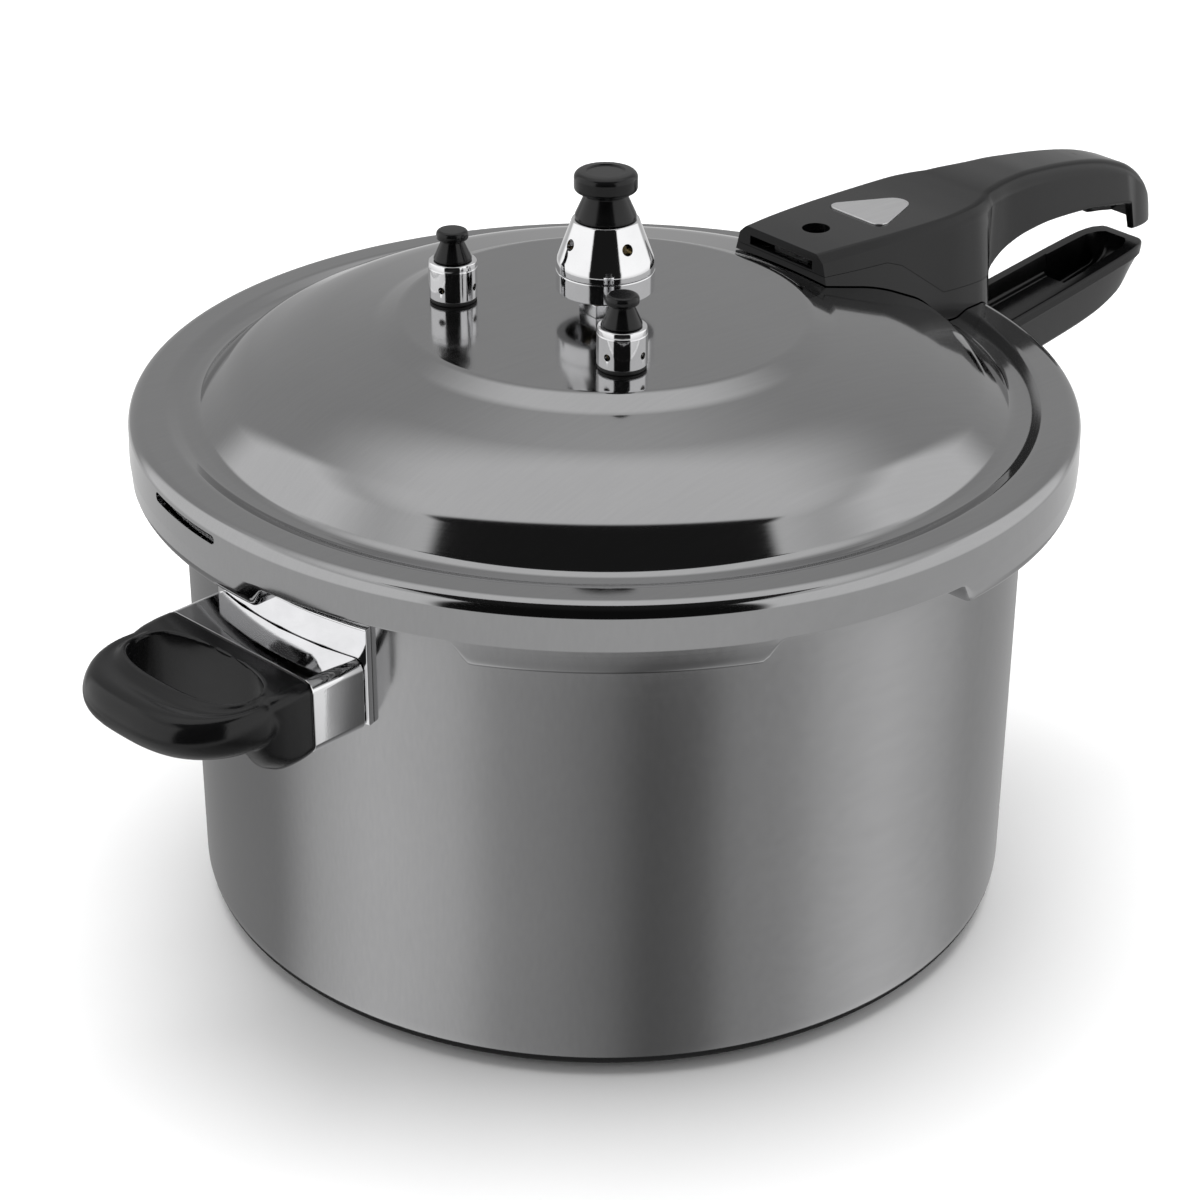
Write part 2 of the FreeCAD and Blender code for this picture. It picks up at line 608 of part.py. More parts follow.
# ---------------------------------------------------------------- float and lock slide
def make_float_parts():
    bush = fused([
        tube(FLOAT_PIN_RADIUS + RUNNING_GAP, 3.5, FLOAT_BOSS_BOTTOM, FLOAT_BUSH_TOP, FLOAT_X),
        tube(FLOAT_PIN_RADIUS + RUNNING_GAP, 5.5, FLOAT_BOSS_TOP, FLOAT_BUSH_TOP, FLOAT_X),
    ])
    pin = fused([
        disc(FLOAT_PIN_RADIUS, 170.5, 190.6, FLOAT_X), disc(4.8, 170.0, 171.4, FLOAT_X),
    ])
    seal = tube(FLOAT_PIN_RADIUS, 4.4, 171.4, 173.4, FLOAT_X)
    clip = tube(FLOAT_PIN_RADIUS, 3.6, FLOAT_BUSH_TOP + 0.05, FLOAT_BUSH_TOP + 0.75, FLOAT_X)
    gap_side = block((FLOAT_X - 1.2, 0, 180), (FLOAT_X + 1.2, 6, 195))
    return bush, pin, seal, clip.cut(gap_side)


def make_lock_slide():
    """Steel bar above the float clip's rest height, slotted for the float and free to slide along +X."""
    low = FLOAT_BUSH_TOP + 1.3
    bar = upright([
        (76.5, -9, 2), (97, -9, 2), (101, -6, 3), (137, -6, 2),
        (137, 6, 2), (101, 6, 3), (97, 9, 2), (76.5, 9, 2),
    ], low, low + 1.8)
    slot = upright([
        (FLOAT_X - 8.6, -4.2, 4.1), (FLOAT_X + 4.6, -4.2, 4.1),
        (FLOAT_X + 4.6, 4.2, 4.1), (FLOAT_X - 8.6, 4.2, 4.1),
    ], low - 1, low + 3)
    tab = block((135.2, -6, low - 5.8), (137, 6, low + 0.2))
    return fused([bar.cut(slot), tab])


def make_lock_spring():
    """Small spring behind the lock slide's tab, held by the outer guide."""
    spring = coil(1.7, 0.3, 0.0, 5.6, 4)
    return aimed(spring, Vector(129.4, 0, FLOAT_BUSH_TOP - 1.3), Vector(1, 0, 0))


def make_lock_guides():
    """Two folded steel clips that carry the lock slide on the handle bracket."""
    low = FLOAT_BUSH_TOP + 1.3
    solids = []
    for x in (108.0, 124.0):
        outside = block((x, -8.4, 182.0), (x + 5, 8.4, low + 3.2))
        inside = block((x - 1, -6.3, low - 0.15), (x + 6, 6.3, low + 1.95))
        solids.append(outside.cut(inside))
    return solids


# ---------------------------------------------------------------- upper handle
def upper_section(x, low, high, low_half, high_half):
    """One section of the lid's handle, with its top edges bevelled."""
    edge = min(2.6, (high - low) * 0.3)
    return x, [
        (-low_half, low), (low_half, low), (high_half + 0.4, high - edge), (high_half - edge, high),
        (-high_half + edge, high), (-high_half - 0.4, high - edge),
    ]


HANDLE_STATIONS = [
    # x, underside, top, half-width at the underside, half-width at the top
    (72.0, 180.0, 195.4, 23.0, 19.0),
    (85.0, 178.0, 195.8, 24.8, 20.5),
    (105.0, 168.0, 196.0, 26.6, 22.0),
    (125.0, NECK_FOOT, 196.2, 27.0, 22.5),
    (138.0, NECK_FOOT, 196.8, 26.0, 21.5),
    (144.5, NECK_FOOT, 197.3, 23.6, 19.6),
    (148.0, NECK_FOOT, 197.6, 20.0, 18.0),
    (149.6, NECK_FOOT, 197.8, 16.5, 17.0),
    (150.4, 168.5, 197.9, 16.4, 16.6),
    (154.5, 172.8, 198.2, 15.8, 15.6),
    (161.0, 176.0, 198.4, 15.0, 14.0),
    (171.0, 178.4, 198.4, 14.2, 12.6),
    (185.0, 179.6, 197.5, 13.6, 11.4),
    (200.0, 179.2, 195.8, 13.2, 10.6),
    (214.0, 177.6, 193.2, 13.0, 10.0),
    (226.0, 175.4, 189.3, 12.6, 9.6),
    (228.2, 166.0, 188.3, 12.4, 9.4),
    (234.5, 165.6, 184.0, 11.4, 8.8),
    (239.2, 165.4, 178.8, 9.6, 7.6),
    (242.0, 166.0, 172.5, 7.0, 6.0),
]


def handle_value(x, column):
    """A station column of the upper handle, worked out between the stations."""
    for first, second in zip(HANDLE_STATIONS[:-1], HANDLE_STATIONS[1:]):
        if first[0] <= x <= second[0]:
            share = (x - first[0]) / (second[0] - first[0])
            return first[column] + share * (second[column] - first[column])
    return HANDLE_STATIONS[-1][column]


def make_upper_body():
    """The whole upper handle as one hollow body, before it is split at its seam."""
    outer = section_loft([upper_section(*station) for station in HANDLE_STATIONS])
    room = []
    for x in (74.6, 85.0, 105.0, 125.0, 138.0, 143.0, 146.8):
        low = max(handle_value(x, 1) - 1, NECK_FOOT - 1)
        room.append(upper_section(
            x, low, handle_value(x, 2) - HANDLE_WALL,
            handle_value(x, 3) - HANDLE_WALL - 1, handle_value(x, 4) - HANDLE_WALL))
    throat = []
    for x, low in ((146.0, 175.5), (150.0, 175.5), (157.9, 178.0)):
        throat.append(upper_section(
            x, low, handle_value(x, 2) - HANDLE_WALL,
            handle_value(x, 4) - HANDLE_WALL, handle_value(x, 4) - HANDLE_WALL - 0.5))
    grip_room = []
    for x in (GRIP_COVER_START - 0.5, 171.0, 185.0, 200.0, 214.0, 225.6, 228.4, 233.5, 238.4):
        grip_room.append(upper_section(
            x, handle_value(x, 1) - 3, handle_value(x, 2) - HANDLE_WALL,
            handle_value(x, 3) - HANDLE_WALL, handle_value(x, 4) - HANDLE_WALL + 0.6))
    front_room = section_loft(room).cut(lid_envelope(HANDLE_WALL + 0.4))
    body = outer.cut(lid_envelope(0.5))
    return body.cut(front_room).cut(section_loft(throat)).cut(section_loft(grip_room)), outer


SEAM = [(60.0, 189.2), (97.0, 188.6), (103.0, 186.4), (121.0, 173.4), (160.0, 171.6)]


def make_upper_handle_parts():
    body, outer = make_upper_body()
    above = sideways(SEAM + [(260.0, 171.6), (260.0, 215.0), (60.0, 215.0)], 40)
    below = sideways([(x, z - 0.15) for x, z in SEAM] + [(160.0, 150.0), (60.0, 150.0)], 40)
    grip_side = block((149.8, -40, 150), (260, 40, 215))
    posts = fused([
        disc(4.6, 168, 199, HANDLE_SCREW_X), disc(4.2, 182.3, 199, GRIP_SCREW_X),
        block((76, 14.5, 189.4), (79, 16, 195)), block((76, -16, 189.4), (79, -14.5, 195)),
    ])
    tongue_room = block((140, -9.4, 179.2), (160, 9.4, 182.4))
    shell = fused([body.common(above), posts.common(outer)]).cut(below.cut(grip_side)).cut(tongue_room)
    shell = shell.cut(disc(4.5, 188, 205, FLOAT_X))
    shell = shell.cut(disc(1.7, 165, 192.5, HANDLE_SCREW_X)).cut(disc(1.7, 170, 190.5, GRIP_SCREW_X))
    shell = shell.cut(disc(3.9, 160, HEAD_SEAT, HANDLE_SCREW_X)).cut(disc(2.1, 160, 181, HANDLE_SCREW_X))
    shell = shell.cut(block((60, -14.5, 189.6), (76.5, 14.5, 192.6)))
    shell = shell.cut(badge_solid(0.05, 0.7))
    base = body.common(below).cut(grip_side)
    base = base.cut(disc(9.3, 170, 195, FLOAT_X)).cut(block((94.5, -13.6, 160), (119.5, 13.6, 195)))
    return largest_solid(shell), largest_solid(base)


def largest_solid(shape):
    return max(shape.Solids, key=lambda solid: solid.Volume)


def badge_solid(gap, depth):
    """Plain rounded triangle let into the handle's top, with its base towards the pot's axis."""
    top = 196.15
    corner = 3.0
    return upright([
        (103.0 - gap, -14.0 - gap, corner), (103.0 - gap, 14.0 + gap, corner),
        (133.5 + gap, 0.0, corner + 2),
    ], top - depth, top + 0.35)


def make_grip_cover():
    """Curved strip that closes the grip's underside."""
    bottom = []
    top = []
    for x in (GRIP_COVER_START, 164.0, 171.0, 178.0, 185.0, 193.0, 200.0, GRIP_COVER_END):
        low = handle_value(x, 1) + 0.7
        bottom.append((x, low))
        top.append((x, low + 2.0))
    strip = sideways(bottom + list(reversed(top)), 8.8)
    seat = handle_value(GRIP_SCREW_X, 1) + GRIP_SCREW_SEAT
    return strip.cut(disc(2.0, 170, 190, GRIP_SCREW_X)).cut(disc(3.4, 170, seat, GRIP_SCREW_X))


def make_lid_bracket():
    """Steel strap riveted to the dome, with a tongue that runs out into the handle's neck."""
    foot = block((96.0, -13.0, 165.0), (118.0, 13.0, 195.0))
    foot = foot.common(lid_envelope(LID_STRAP)).cut(lid_envelope(0.03))
    tongue = block((116.0, -9.0, 179.6), (157.5, 9.0, 181.9))
    web = block((115.8, -9.0, 172.0), (118.0, 9.0, 181.9)).cut(lid_envelope(0.03))
    ledge = block((107.0, -8.4, 180.2), (118.0, 8.4, 181.9)).cut(lid_envelope(0.03))
    bracket = fused([foot, tongue, web, ledge])
    return bracket.cut(disc(2.1, 170, 190, HANDLE_SCREW_X))


def make_lid_rivets(points):
    grip = LID_SHEET + LID_STRAP + 2 * LID_RIVET_SLACK
    solids = []
    for point in points:
        normal = lid_normal(math.hypot(point.x, point.y))
        start = point + normal * (LID_STRAP + LID_RIVET_SLACK)
        solids.append(rivet(start, normal, grip, RIVET_SHANK, 3.4))
    return solids


def make_handle_screws():
    grip_seat = handle_value(GRIP_SCREW_X, 1) + GRIP_SCREW_SEAT
    return [
        screw(Vector(HANDLE_SCREW_X, 0, HEAD_SEAT - 2.0), AXIS, 1.7, 15.0, 3.5, 2.0),
        screw(Vector(GRIP_SCREW_X, 0, grip_seat - 1.6), AXIS, 1.7, 9.5, 3.2, 1.6),
    ]


# ---------------------------------------------------------------- assembly
def build():
    nodes = {}
    pipe, vent_washer, vent_nut, cap = make_vent_parts()
    base_ring, weight_body, core, weight_knob = make_weight_parts()
    bush, pin, float_seal, clip = make_float_parts()

    lower_rivets = wall_rivets((-8.0, 8.0), (119.5, 136.0), BRACKET_SHEET)
    helper_rivets = wall_rivets((-11.6, 11.6), (115.5, 126.0), 2.4)
    pot = make_pot_shell()
    for hole in rivet_holes(lower_rivets):
        pot = pot.cut(hole)
    for hole in rivet_holes(helper_rivets):
        pot = pot.cut(turned(hole, HELPER_AZIMUTH))
    nodes["pot_shell"] = pot
    nodes["pot_handle"] = make_lower_handle()
    nodes["pot_handle_bracket"] = make_lower_bracket(lower_rivets)
    nodes["pot_handle_rivets"] = Part.Compound(lower_rivets)
    nodes["pot_handle_screw"] = screw(Vector(POT_SCREW_X, 0, 122.4), AXIS, 1.9, 8.4, 3.8, 2.0)
    nodes["helper_handle"] = turned(make_helper_handle(), HELPER_AZIMUTH)
    nodes["helper_bracket"] = turned(make_helper_bracket(helper_rivets), HELPER_AZIMUTH)
    sleeve = make_helper_sleeve()
    for side in (-1, 1):
        sleeve = sleeve.cut(disc(2.1, 100, 112, HELPER_SCREW_X, HELPER_SCREW_Y * side))
    nodes["helper_sleeve"] = turned(sleeve, HELPER_AZIMUTH)
    nodes["helper_rivets"] = turned(Part.Compound(helper_rivets), HELPER_AZIMUTH)
    nodes["helper_screws"] = turned(Part.Compound(make_helper_screws()), HELPER_AZIMUTH)

    nodes["sealing_ring"] = make_sealing_ring()

    rivet_points = [Vector(103.0, y, lid_height(math.hypot(103.0, y))) for y in (-8.0, 8.0)]
    nodes["lid_shell"] = make_lid_shell(rivet_points)
    lid_rivets = make_lid_rivets(rivet_points)
    bracket = make_lid_bracket()
    for point in rivet_points:
        normal = lid_normal(math.hypot(point.x, point.y))
        bracket = bracket.cut(Part.makeCylinder(RIVET_HOLE, 8, point - normal, normal))
    nodes["lid_handle_bracket"] = bracket
    nodes["lid_handle_rivets"] = Part.Compound(lid_rivets)
    shell, base = make_upper_handle_parts()
    nodes["lid_handle"] = shell
    nodes["lid_handle_base"] = base
    nodes["lid_handle_badge"] = badge_solid(0.0, 0.65)
    nodes["lid_grip_cover"] = make_grip_cover()
    nodes["lid_handle_screws"] = Part.Compound(make_handle_screws())

    nodes["vent_pipe"] = pipe
    nodes["vent_washer"] = vent_washer
    nodes["vent_nut"] = vent_nut
    nodes["anti_clog_cap"] = cap
    nodes["weight_base_ring"] = base_ring
    nodes["weight_body"] = weight_body
    nodes["weight_core"] = core
    nodes["weight_knob"] = weight_knob

    for letter, (azimuth, radius, hole_turn) in VALVE_PLACES.items():
        for piece, shape in make_valve_parts(hole_turn).items():
            nodes["valve_%s_%s" % (letter, piece)] = turned(moved(shape, x=radius), azimuth)

    nodes["float_bush"] = bush
    nodes["float_pin"] = pin
    nodes["float_seal"] = float_seal
    nodes["float_clip"] = clip
    nodes["lock_slide"] = make_lock_slide()
    nodes["lock_spring"] = make_lock_spring()
    nodes["lock_slide_guides"] = Part.Compound(make_lock_guides())
    return nodes


def export(nodes):
    os.makedirs("parts", exist_ok=True)
    for name, shape in nodes.items():
        shape.exportStep("parts/%s.step" % name)


export(build())
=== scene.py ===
import json
import math

import bmesh
import bpy
from mathutils import Matrix, Vector


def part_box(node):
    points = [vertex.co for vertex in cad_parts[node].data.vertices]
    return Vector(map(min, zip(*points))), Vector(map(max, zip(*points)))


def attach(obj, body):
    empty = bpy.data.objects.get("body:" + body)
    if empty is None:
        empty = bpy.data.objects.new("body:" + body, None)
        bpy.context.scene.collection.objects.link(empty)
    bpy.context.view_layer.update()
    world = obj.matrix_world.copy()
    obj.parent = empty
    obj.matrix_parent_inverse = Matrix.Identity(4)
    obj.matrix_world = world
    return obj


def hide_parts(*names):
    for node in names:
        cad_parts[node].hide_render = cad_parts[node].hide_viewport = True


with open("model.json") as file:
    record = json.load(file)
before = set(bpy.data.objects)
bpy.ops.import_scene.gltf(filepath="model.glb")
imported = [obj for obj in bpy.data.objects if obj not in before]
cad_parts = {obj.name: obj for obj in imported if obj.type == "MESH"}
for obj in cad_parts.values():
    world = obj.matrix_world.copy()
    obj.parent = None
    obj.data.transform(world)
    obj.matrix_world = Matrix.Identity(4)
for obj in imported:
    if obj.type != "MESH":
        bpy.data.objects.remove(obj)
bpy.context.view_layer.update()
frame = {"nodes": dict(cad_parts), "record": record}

# The looks of a stovetop pressure cooker. Outlines and places are in millimetres in the packed
# model's frame: +Z up along the pot's axis, +X along the long handles.
MM = 0.001


def box_mm(node):
    low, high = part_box(node)
    return low / MM, high / MM


def middle_mm(node):
    low, high = box_mm(node)
    return (low + high) / 2


# ---------------------------------------------------------------- driving dimensions
RIM_TOP = box_mm("pot_shell")[1].z
LID_EDGE = box_mm("lid_shell")[0].z
SKIRT_RADIUS = box_mm("lid_shell")[1].x
LID_TOP = box_mm("lid_shell")[1].z
POT_RADIUS = 130.0
LID_SHEET = 2.5
LUG_COUNT = 6
LUG_PHASE = -8.0
LID_LUG_ANGLE = 34.0
POT_LUG_ANGLE = 23.5
WEIGHT_BOTTOM = box_mm("weight_base_ring")[0].z
WEIGHT_TOP = box_mm("weight_knob")[1].z
WEIGHT_CONE_TOP = box_mm("weight_body")[1].z
FLOAT_X = middle_mm("float_pin").x
HELPER_AZIMUTH = math.degrees(math.atan2(middle_mm("helper_handle").y, middle_mm("helper_handle").x))
HELPER_TOP = box_mm("helper_handle")[1].z
CAMERA_AZIMUTH = -39.5
CAMERA_ELEVATION = 27.85


# ---------------------------------------------------------------- outlines
def rounded(points, closed=True, steps=8):
    """Points of an outline through (a, b) or (a, b, corner radius), with each corner as an arc."""
    count = len(points)
    outline = []
    for index, point in enumerate(points):
        corner = Vector(point[:2])
        radius = point[2] if len(point) > 2 else 0
        at_end = not closed and index in (0, count - 1)
        if radius == 0 or at_end:
            outline.append(corner)
            continue
        to_before = Vector(points[index - 1][:2]) - corner
        to_after = Vector(points[(index + 1) % count][:2]) - corner
        half = to_before.angle(to_after) / 2
        reach = min(radius / math.tan(half), 0.48 * to_before.length, 0.48 * to_after.length)
        radius = reach * math.tan(half)
        to_before.normalize()
        to_after.normalize()
        centre = corner + (to_before + to_after).normalized() * (radius / math.sin(half))
        first = corner + to_before * reach - centre
        last = corner + to_after * reach - centre
        sweep = math.pi - 2 * half
        for step in range(steps + 1):
            share = step / steps
            first_part = math.sin((1 - share) * sweep)
            last_part = math.sin(share * sweep)
            outline.append(centre + (first * first_part + last * last_part) / math.sin(sweep))
    return outline


def spread(outline, count):
    """The open outline again, with count points an equal length apart."""
    lengths = [0.0]
    for before, after in zip(outline[:-1], outline[1:]):
        lengths.append(lengths[-1] + (after - before).length)
    points = []
    run = 0
    for index in range(count):
        wanted = lengths[-1] * index / (count - 1)
        while run < len(outline) - 2 and lengths[run + 1] < wanted:
            run += 1
        share = (wanted - lengths[run]) / max(lengths[run + 1] - lengths[run], 1e-9)
        points.append(outline[run].lerp(outline[run + 1], min(share, 1.0)))
    return points


def inset(outline, distance):
    """The open outline moved sideways, to the right of its direction."""
    moved = []
    for index, point in enumerate(outline):
        run = outline[min(index + 1, len(outline) - 1)] - outline[max(index - 1, 0)]
        moved.append(point + Vector((run.y, -run.x)).normalized() * distance)
    return moved


def eased(stations, x):
    """The columns of a list of (x, a, b, ...) stations at x, on smooth curves that never overshoot."""
    last = len(stations) - 2
    index = max(i for i in range(last + 1) if stations[i][0] <= x or i == 0)

    def slope(i, column):
        if i < 0 or i > last:
            return 0.0
        return (stations[i + 1][column] - stations[i][column]) / (stations[i + 1][0] - stations[i][0])

    def tangent(i, column):
        before = slope(i - 1, column)
        after = slope(i, column)
        if i == 0 or i == last + 1:
            return before + after
        if before * after <= 0:
            return 0.0
        return 2 * before * after / (before + after)

    start, end = stations[index], stations[index + 1]
    width = end[0] - start[0]
    t = min(max((x - start[0]) / width, 0.0), 1.0)
    values = []
    for column in range(1, len(start)):
        rise = (t ** 3 - 2 * t ** 2 + t) * tangent(index, column)
        rise += (t ** 3 - t ** 2) * tangent(index + 1, column)
        blend = t * t * (3 - 2 * t)
        values.append(start[column] + (end[column] - start[column]) * blend + rise * width)
    return values


def between(stations, spacing):
    """Places of the stations and of evenly spaced points between them."""
    places = [stations[0][0]]
    for before, after in zip(stations[:-1], stations[1:]):
        steps = max(1, round((after[0] - before[0]) / spacing))
        places += [before[0] + (after[0] - before[0]) * step / steps for step in range(1, steps + 1)]
    return places


def turned(azimuth):
    return Matrix.Rotation(math.radians(azimuth), 4, "Z")


# ---------------------------------------------------------------- meshes
def mesh_from(name, vertices, faces):
    mesh = bpy.data.meshes.new(name)
    mesh.from_pydata([Vector(v) * MM for v in vertices], [], faces)
    shape = bmesh.new()
    shape.from_mesh(mesh)
    bmesh.ops.remove_doubles(shape, verts=shape.verts, dist=1e-7)
    bmesh.ops.recalc_face_normals(shape, faces=shape.faces)
    shape.to_mesh(mesh)
    shape.free()
    piece = bpy.data.objects.new(name, mesh)
    bpy.context.scene.collection.objects.link(piece)
    return piece


def skin(name, rings, around=False):
    """Surface through closed rings of equal point counts: capped at its ends, or joined up around."""
    size = len(rings[0])
    vertices = [point for ring in rings for point in ring]
    faces = []
    spans = len(rings) if around else len(rings) - 1
    for row in range(spans):
        this = row * size
        following = (row + 1) % len(rings) * size
        for column in range(size):
            beside = (column + 1) % size
            faces.append((this + column, this + beside, following + beside, following + column))
    if not around:
        faces.append(tuple(range(size)))
        faces.append(tuple(range((len(rings) - 1) * size, len(rings) * size)))
    return mesh_from(name, vertices, faces)


def lathe(name, points, start=0.0, sweep=360.0, around=(0.0, 0.0), detail=2.0, steps=8):
    """Solid turned about an upright axis from a closed outline of (radius, height, corner radius)."""
    outline = rounded(points, steps=steps)
    whole = sweep == 360.0
    turns = max(3, round(sweep / detail))
    rings = []
    for turn in range(turns if whole else turns + 1):
        angle = math.radians(start + sweep * turn / turns)
        cosine = math.cos(angle)
        sine = math.sin(angle)
        rings.append([Vector((around[0] + p.x * cosine, around[1] + p.x * sine, p.y)) for p in outline])
    return skin(name, rings, around=whole)


def drum(radius, low, high, x=0.0, y=0.0):
    """Plain round cutter."""
    return lathe("cutter", [(0, low), (radius, low), (radius, high), (0, high)], around=(x, y), detail=7.5)


def rod(radius, start, direction, length):
    """Round cutter from a point along a direction."""
    cutter = drum(radius, 0, length)
    aim = Vector(direction).to_track_quat("Z", "Y").to_matrix().to_4x4()
    cutter.data.transform(Matrix.Translation(Vector(start) * MM) @ aim)
    return cutter


def prism(name, outline, low, high, place):
    """Straight body between two levels of an outline; place turns (a, b, level) into space."""
    rings = [[place(p.x, p.y, level) for p in outline] for level in (low, high)]
    return skin(name, rings)


def upright(outline, low, high, name="cutter"):
    return prism(name, outline, low, high, lambda a, b, level: Vector((a, b, level)))


def sideways(outline, half_width, name="cutter"):
    return prism(name, outline, -half_width, half_width, lambda a, b, level: Vector((a, level, b)))


def block(low, high):
    corners = [(low[0], low[1]), (high[0], low[1]), (high[0], high[1]), (low[0], high[1])]
    return upright([Vector(corner) for corner in corners], low[2], high[2])


def transformed(piece, matrix):
    piece.data.transform(matrix)
    return piece


def copied(piece, name="cutter"):
    twin = bpy.data.objects.new(name, piece.data.copy())
    bpy.context.scene.collection.objects.link(twin)
    return twin


def settle(piece):
    """Apply the piece's modifiers."""
    depsgraph = bpy.context.evaluated_depsgraph_get()
    mesh = bpy.data.meshes.new_from_object(piece.evaluated_get(depsgraph))
    piece.modifiers.clear()
    piece.data = mesh
    return piece


def combine(piece, tools, operation="DIFFERENCE"):
    """Cut the tools out of the piece, or join or keep what they share; the tools are used up."""
    for tool in tools:
        step = piece.modifiers.new("combine", "BOOLEAN")
        step.operation = operation
        step.solver = "EXACT"
        step.object = tool
        bpy.context.view_layer.update()
        settle(piece)
        bpy.data.objects.remove(tool)
    return piece


def joined(name, pieces):
    """Several meshes as one piece."""
    shape = bmesh.new()
    for piece in pieces:
        shape.from_mesh(piece.data)
    mesh = bpy.data.meshes.new(name)
    shape.to_mesh(mesh)
    shape.free()
    for piece in pieces:
        bpy.data.objects.remove(piece)
    whole = bpy.data.objects.new(name, mesh)
    bpy.context.scene.collection.objects.link(whole)
    return whole


# ---------------------------------------------------------------- materials
class Nodes:
    """Short way to write a node tree."""

    def __init__(self, tree):
        self.tree = tree
        tree.nodes.clear()

    def add(self, kind, inputs=(), **settings):
        node = self.tree.nodes.new(kind)
        for name, value in settings.items():
            setattr(node, name, value)
        for socket, value in dict(inputs).items():
            self.set(node.inputs[socket], value)
        return node

    def set(self, socket, value):
        if isinstance(value, bpy.types.NodeSocket):
            self.tree.links.new(value, socket)
        else:
            socket.default_value = value

    def math(self, operation, first, second=0.0):
        return self.add("ShaderNodeMath", {0: first, 1: second}, operation=operation).outputs[0]

    def noise(self, vector, scale, detail=3.0):
        inputs = {"Vector": vector, "Scale": scale, "Detail": detail}
        return self.add("ShaderNodeTexNoise", inputs).outputs["Fac"]

    def streaks(self, vector, stretch, scale, detail):
        """Noise that is squeezed by a different amount along each axis, so that it draws out into streaks."""
        squeezed = self.add("ShaderNodeMapping", {"Vector": vector, "Scale": stretch})
        return self.noise(squeezed.outputs[0], scale, detail)

    def dot(self, first, second):
        node = self.add("ShaderNodeVectorMath", {0: first, 1: second}, operation="DOT_PRODUCT")
        return node.outputs["Value"]

    def ramp(self, value, low, high, from_low=0.3, from_high=0.7):
        inputs = {0: value, 1: from_low, 2: from_high, 3: low, 4: high}
        return self.add("ShaderNodeMapRange", inputs).outputs[0]

    def step(self, value, start, end, low=0.0, high=1.0):
        """Smooth step from low to high between two values."""
        inputs = {0: value, 1: start, 2: end, 3: low, 4: high}
        return self.add("ShaderNodeMapRange", inputs, interpolation_type="SMOOTHSTEP").outputs[0]

    def shade(self, value, dark, light):
        """Colour between two greys or tints, by a value from 0 to 1."""
        mix = self.add("ShaderNodeMix", {"Factor": value}, data_type="RGBA")
        mix.inputs[6].default_value = (*dark, 1)
        mix.inputs[7].default_value = (*light, 1)
        return mix.outputs[2]


def new_material(name):
    material = bpy.data.materials.new(name)
    material.use_nodes = True
    nodes = Nodes(material.node_tree)
    shader = nodes.add("ShaderNodeBsdfPrincipled")
    nodes.add("ShaderNodeOutputMaterial", {"Surface": shader.outputs[0]})
    place = nodes.add("ShaderNodeTexCoord").outputs["Object"]
    return material, nodes, shader, place


SATIN_ROUGHNESS = 0.05      # added to the roughness of a polished face
SATIN_EDGE = 0.0015         # half the width, in metres, over which a satin face turns polished


def spun_metal(name, dark, light, roughness, spread_of_roughness, bump, satin_to=0.0):
    """Metal turned or polished on a lathe: fine rings, faint clouds and a few wiped scratches.

    Out to the radius satin_to, in metres, it is brushed to a satin.
    """
    material, nodes, shader, place = new_material(name)
    parts = nodes.add("ShaderNodeSeparateXYZ", {0: place})
    flat = nodes.add("ShaderNodeCombineXYZ", {0: parts.outputs[0], 1: parts.outputs[1]})
    radius = nodes.add("ShaderNodeVectorMath", {0: flat.outputs[0]}, operation="LENGTH").outputs["Value"]
    rings = nodes.add("ShaderNodeCombineXYZ", {0: radius, 1: parts.outputs[2]})
    fine = nodes.noise(rings.outputs[0], 1900.0, 2.0)
    broad = nodes.noise(rings.outputs[0], 260.0, 3.0)
    clouds = nodes.noise(place, 14.0, 4.0)
    streaks = nodes.streaks(place, (9, 160, 40), 6.0, 5.0)
    grain = nodes.math("ADD", nodes.math("MULTIPLY", fine, 0.65), nodes.math("MULTIPLY", broad, 0.35))
    wear = nodes.math("ADD", nodes.math("MULTIPLY", clouds, 0.6), nodes.math("MULTIPLY", streaks, 0.4))
    nodes.set(shader.inputs["Base Color"], nodes.shade(nodes.ramp(wear, 0, 1), dark, light))
    low = roughness - spread_of_roughness
    high = roughness + spread_of_roughness
    mixed = nodes.math("ADD", nodes.math("MULTIPLY", grain, 0.5), nodes.math("MULTIPLY", wear, 0.5))
    finish_level = nodes.ramp(mixed, low, high)
    if satin_to:
        satin = nodes.ramp(radius, SATIN_ROUGHNESS, 0.0, satin_to - SATIN_EDGE, satin_to + SATIN_EDGE)
        finish_level = nodes.math("ADD", finish_level, satin)
    nodes.set(shader.inputs["Roughness"], finish_level)
    shader.inputs["Metallic"].default_value = 1.0
    relief = nodes.add("ShaderNodeBump", {"Strength": bump, "Distance": 0.0001, "Height": grain})
    nodes.set(shader.inputs["Normal"], relief.outputs[0])
    return material


def moulded_plastic(name, colour, roughness):
    """Glossy phenolic moulding: almost black, with a faint orange peel and handling marks."""
    material, nodes, shader, place = new_material(name)
    peel = nodes.noise(place, 420.0, 2.0)
    marks = nodes.streaks(place, (60, 14, 30), 5.0, 6.0)
    clouds = nodes.noise(place, 22.0, 3.0)
    lighter = tuple(1.7 * c for c in colour)
    nodes.set(shader.inputs["Base Color"], nodes.shade(nodes.ramp(clouds, 0, 1), colour, lighter))
    wear = nodes.math("ADD", nodes.math("MULTIPLY", marks, 0.6), nodes.math("MULTIPLY", clouds, 0.4))
    nodes.set(shader.inputs["Roughness"], nodes.ramp(wear, roughness * 0.8, roughness * 1.3))
    shader.inputs["IOR"].default_value = 1.5
    shader.inputs["Specular IOR Level"].default_value = 0.36
    relief = nodes.add("ShaderNodeBump", {"Strength": 0.10, "Distance": 0.0001, "Height": peel})
    nodes.set(shader.inputs["Normal"], relief.outputs[0])
    return material


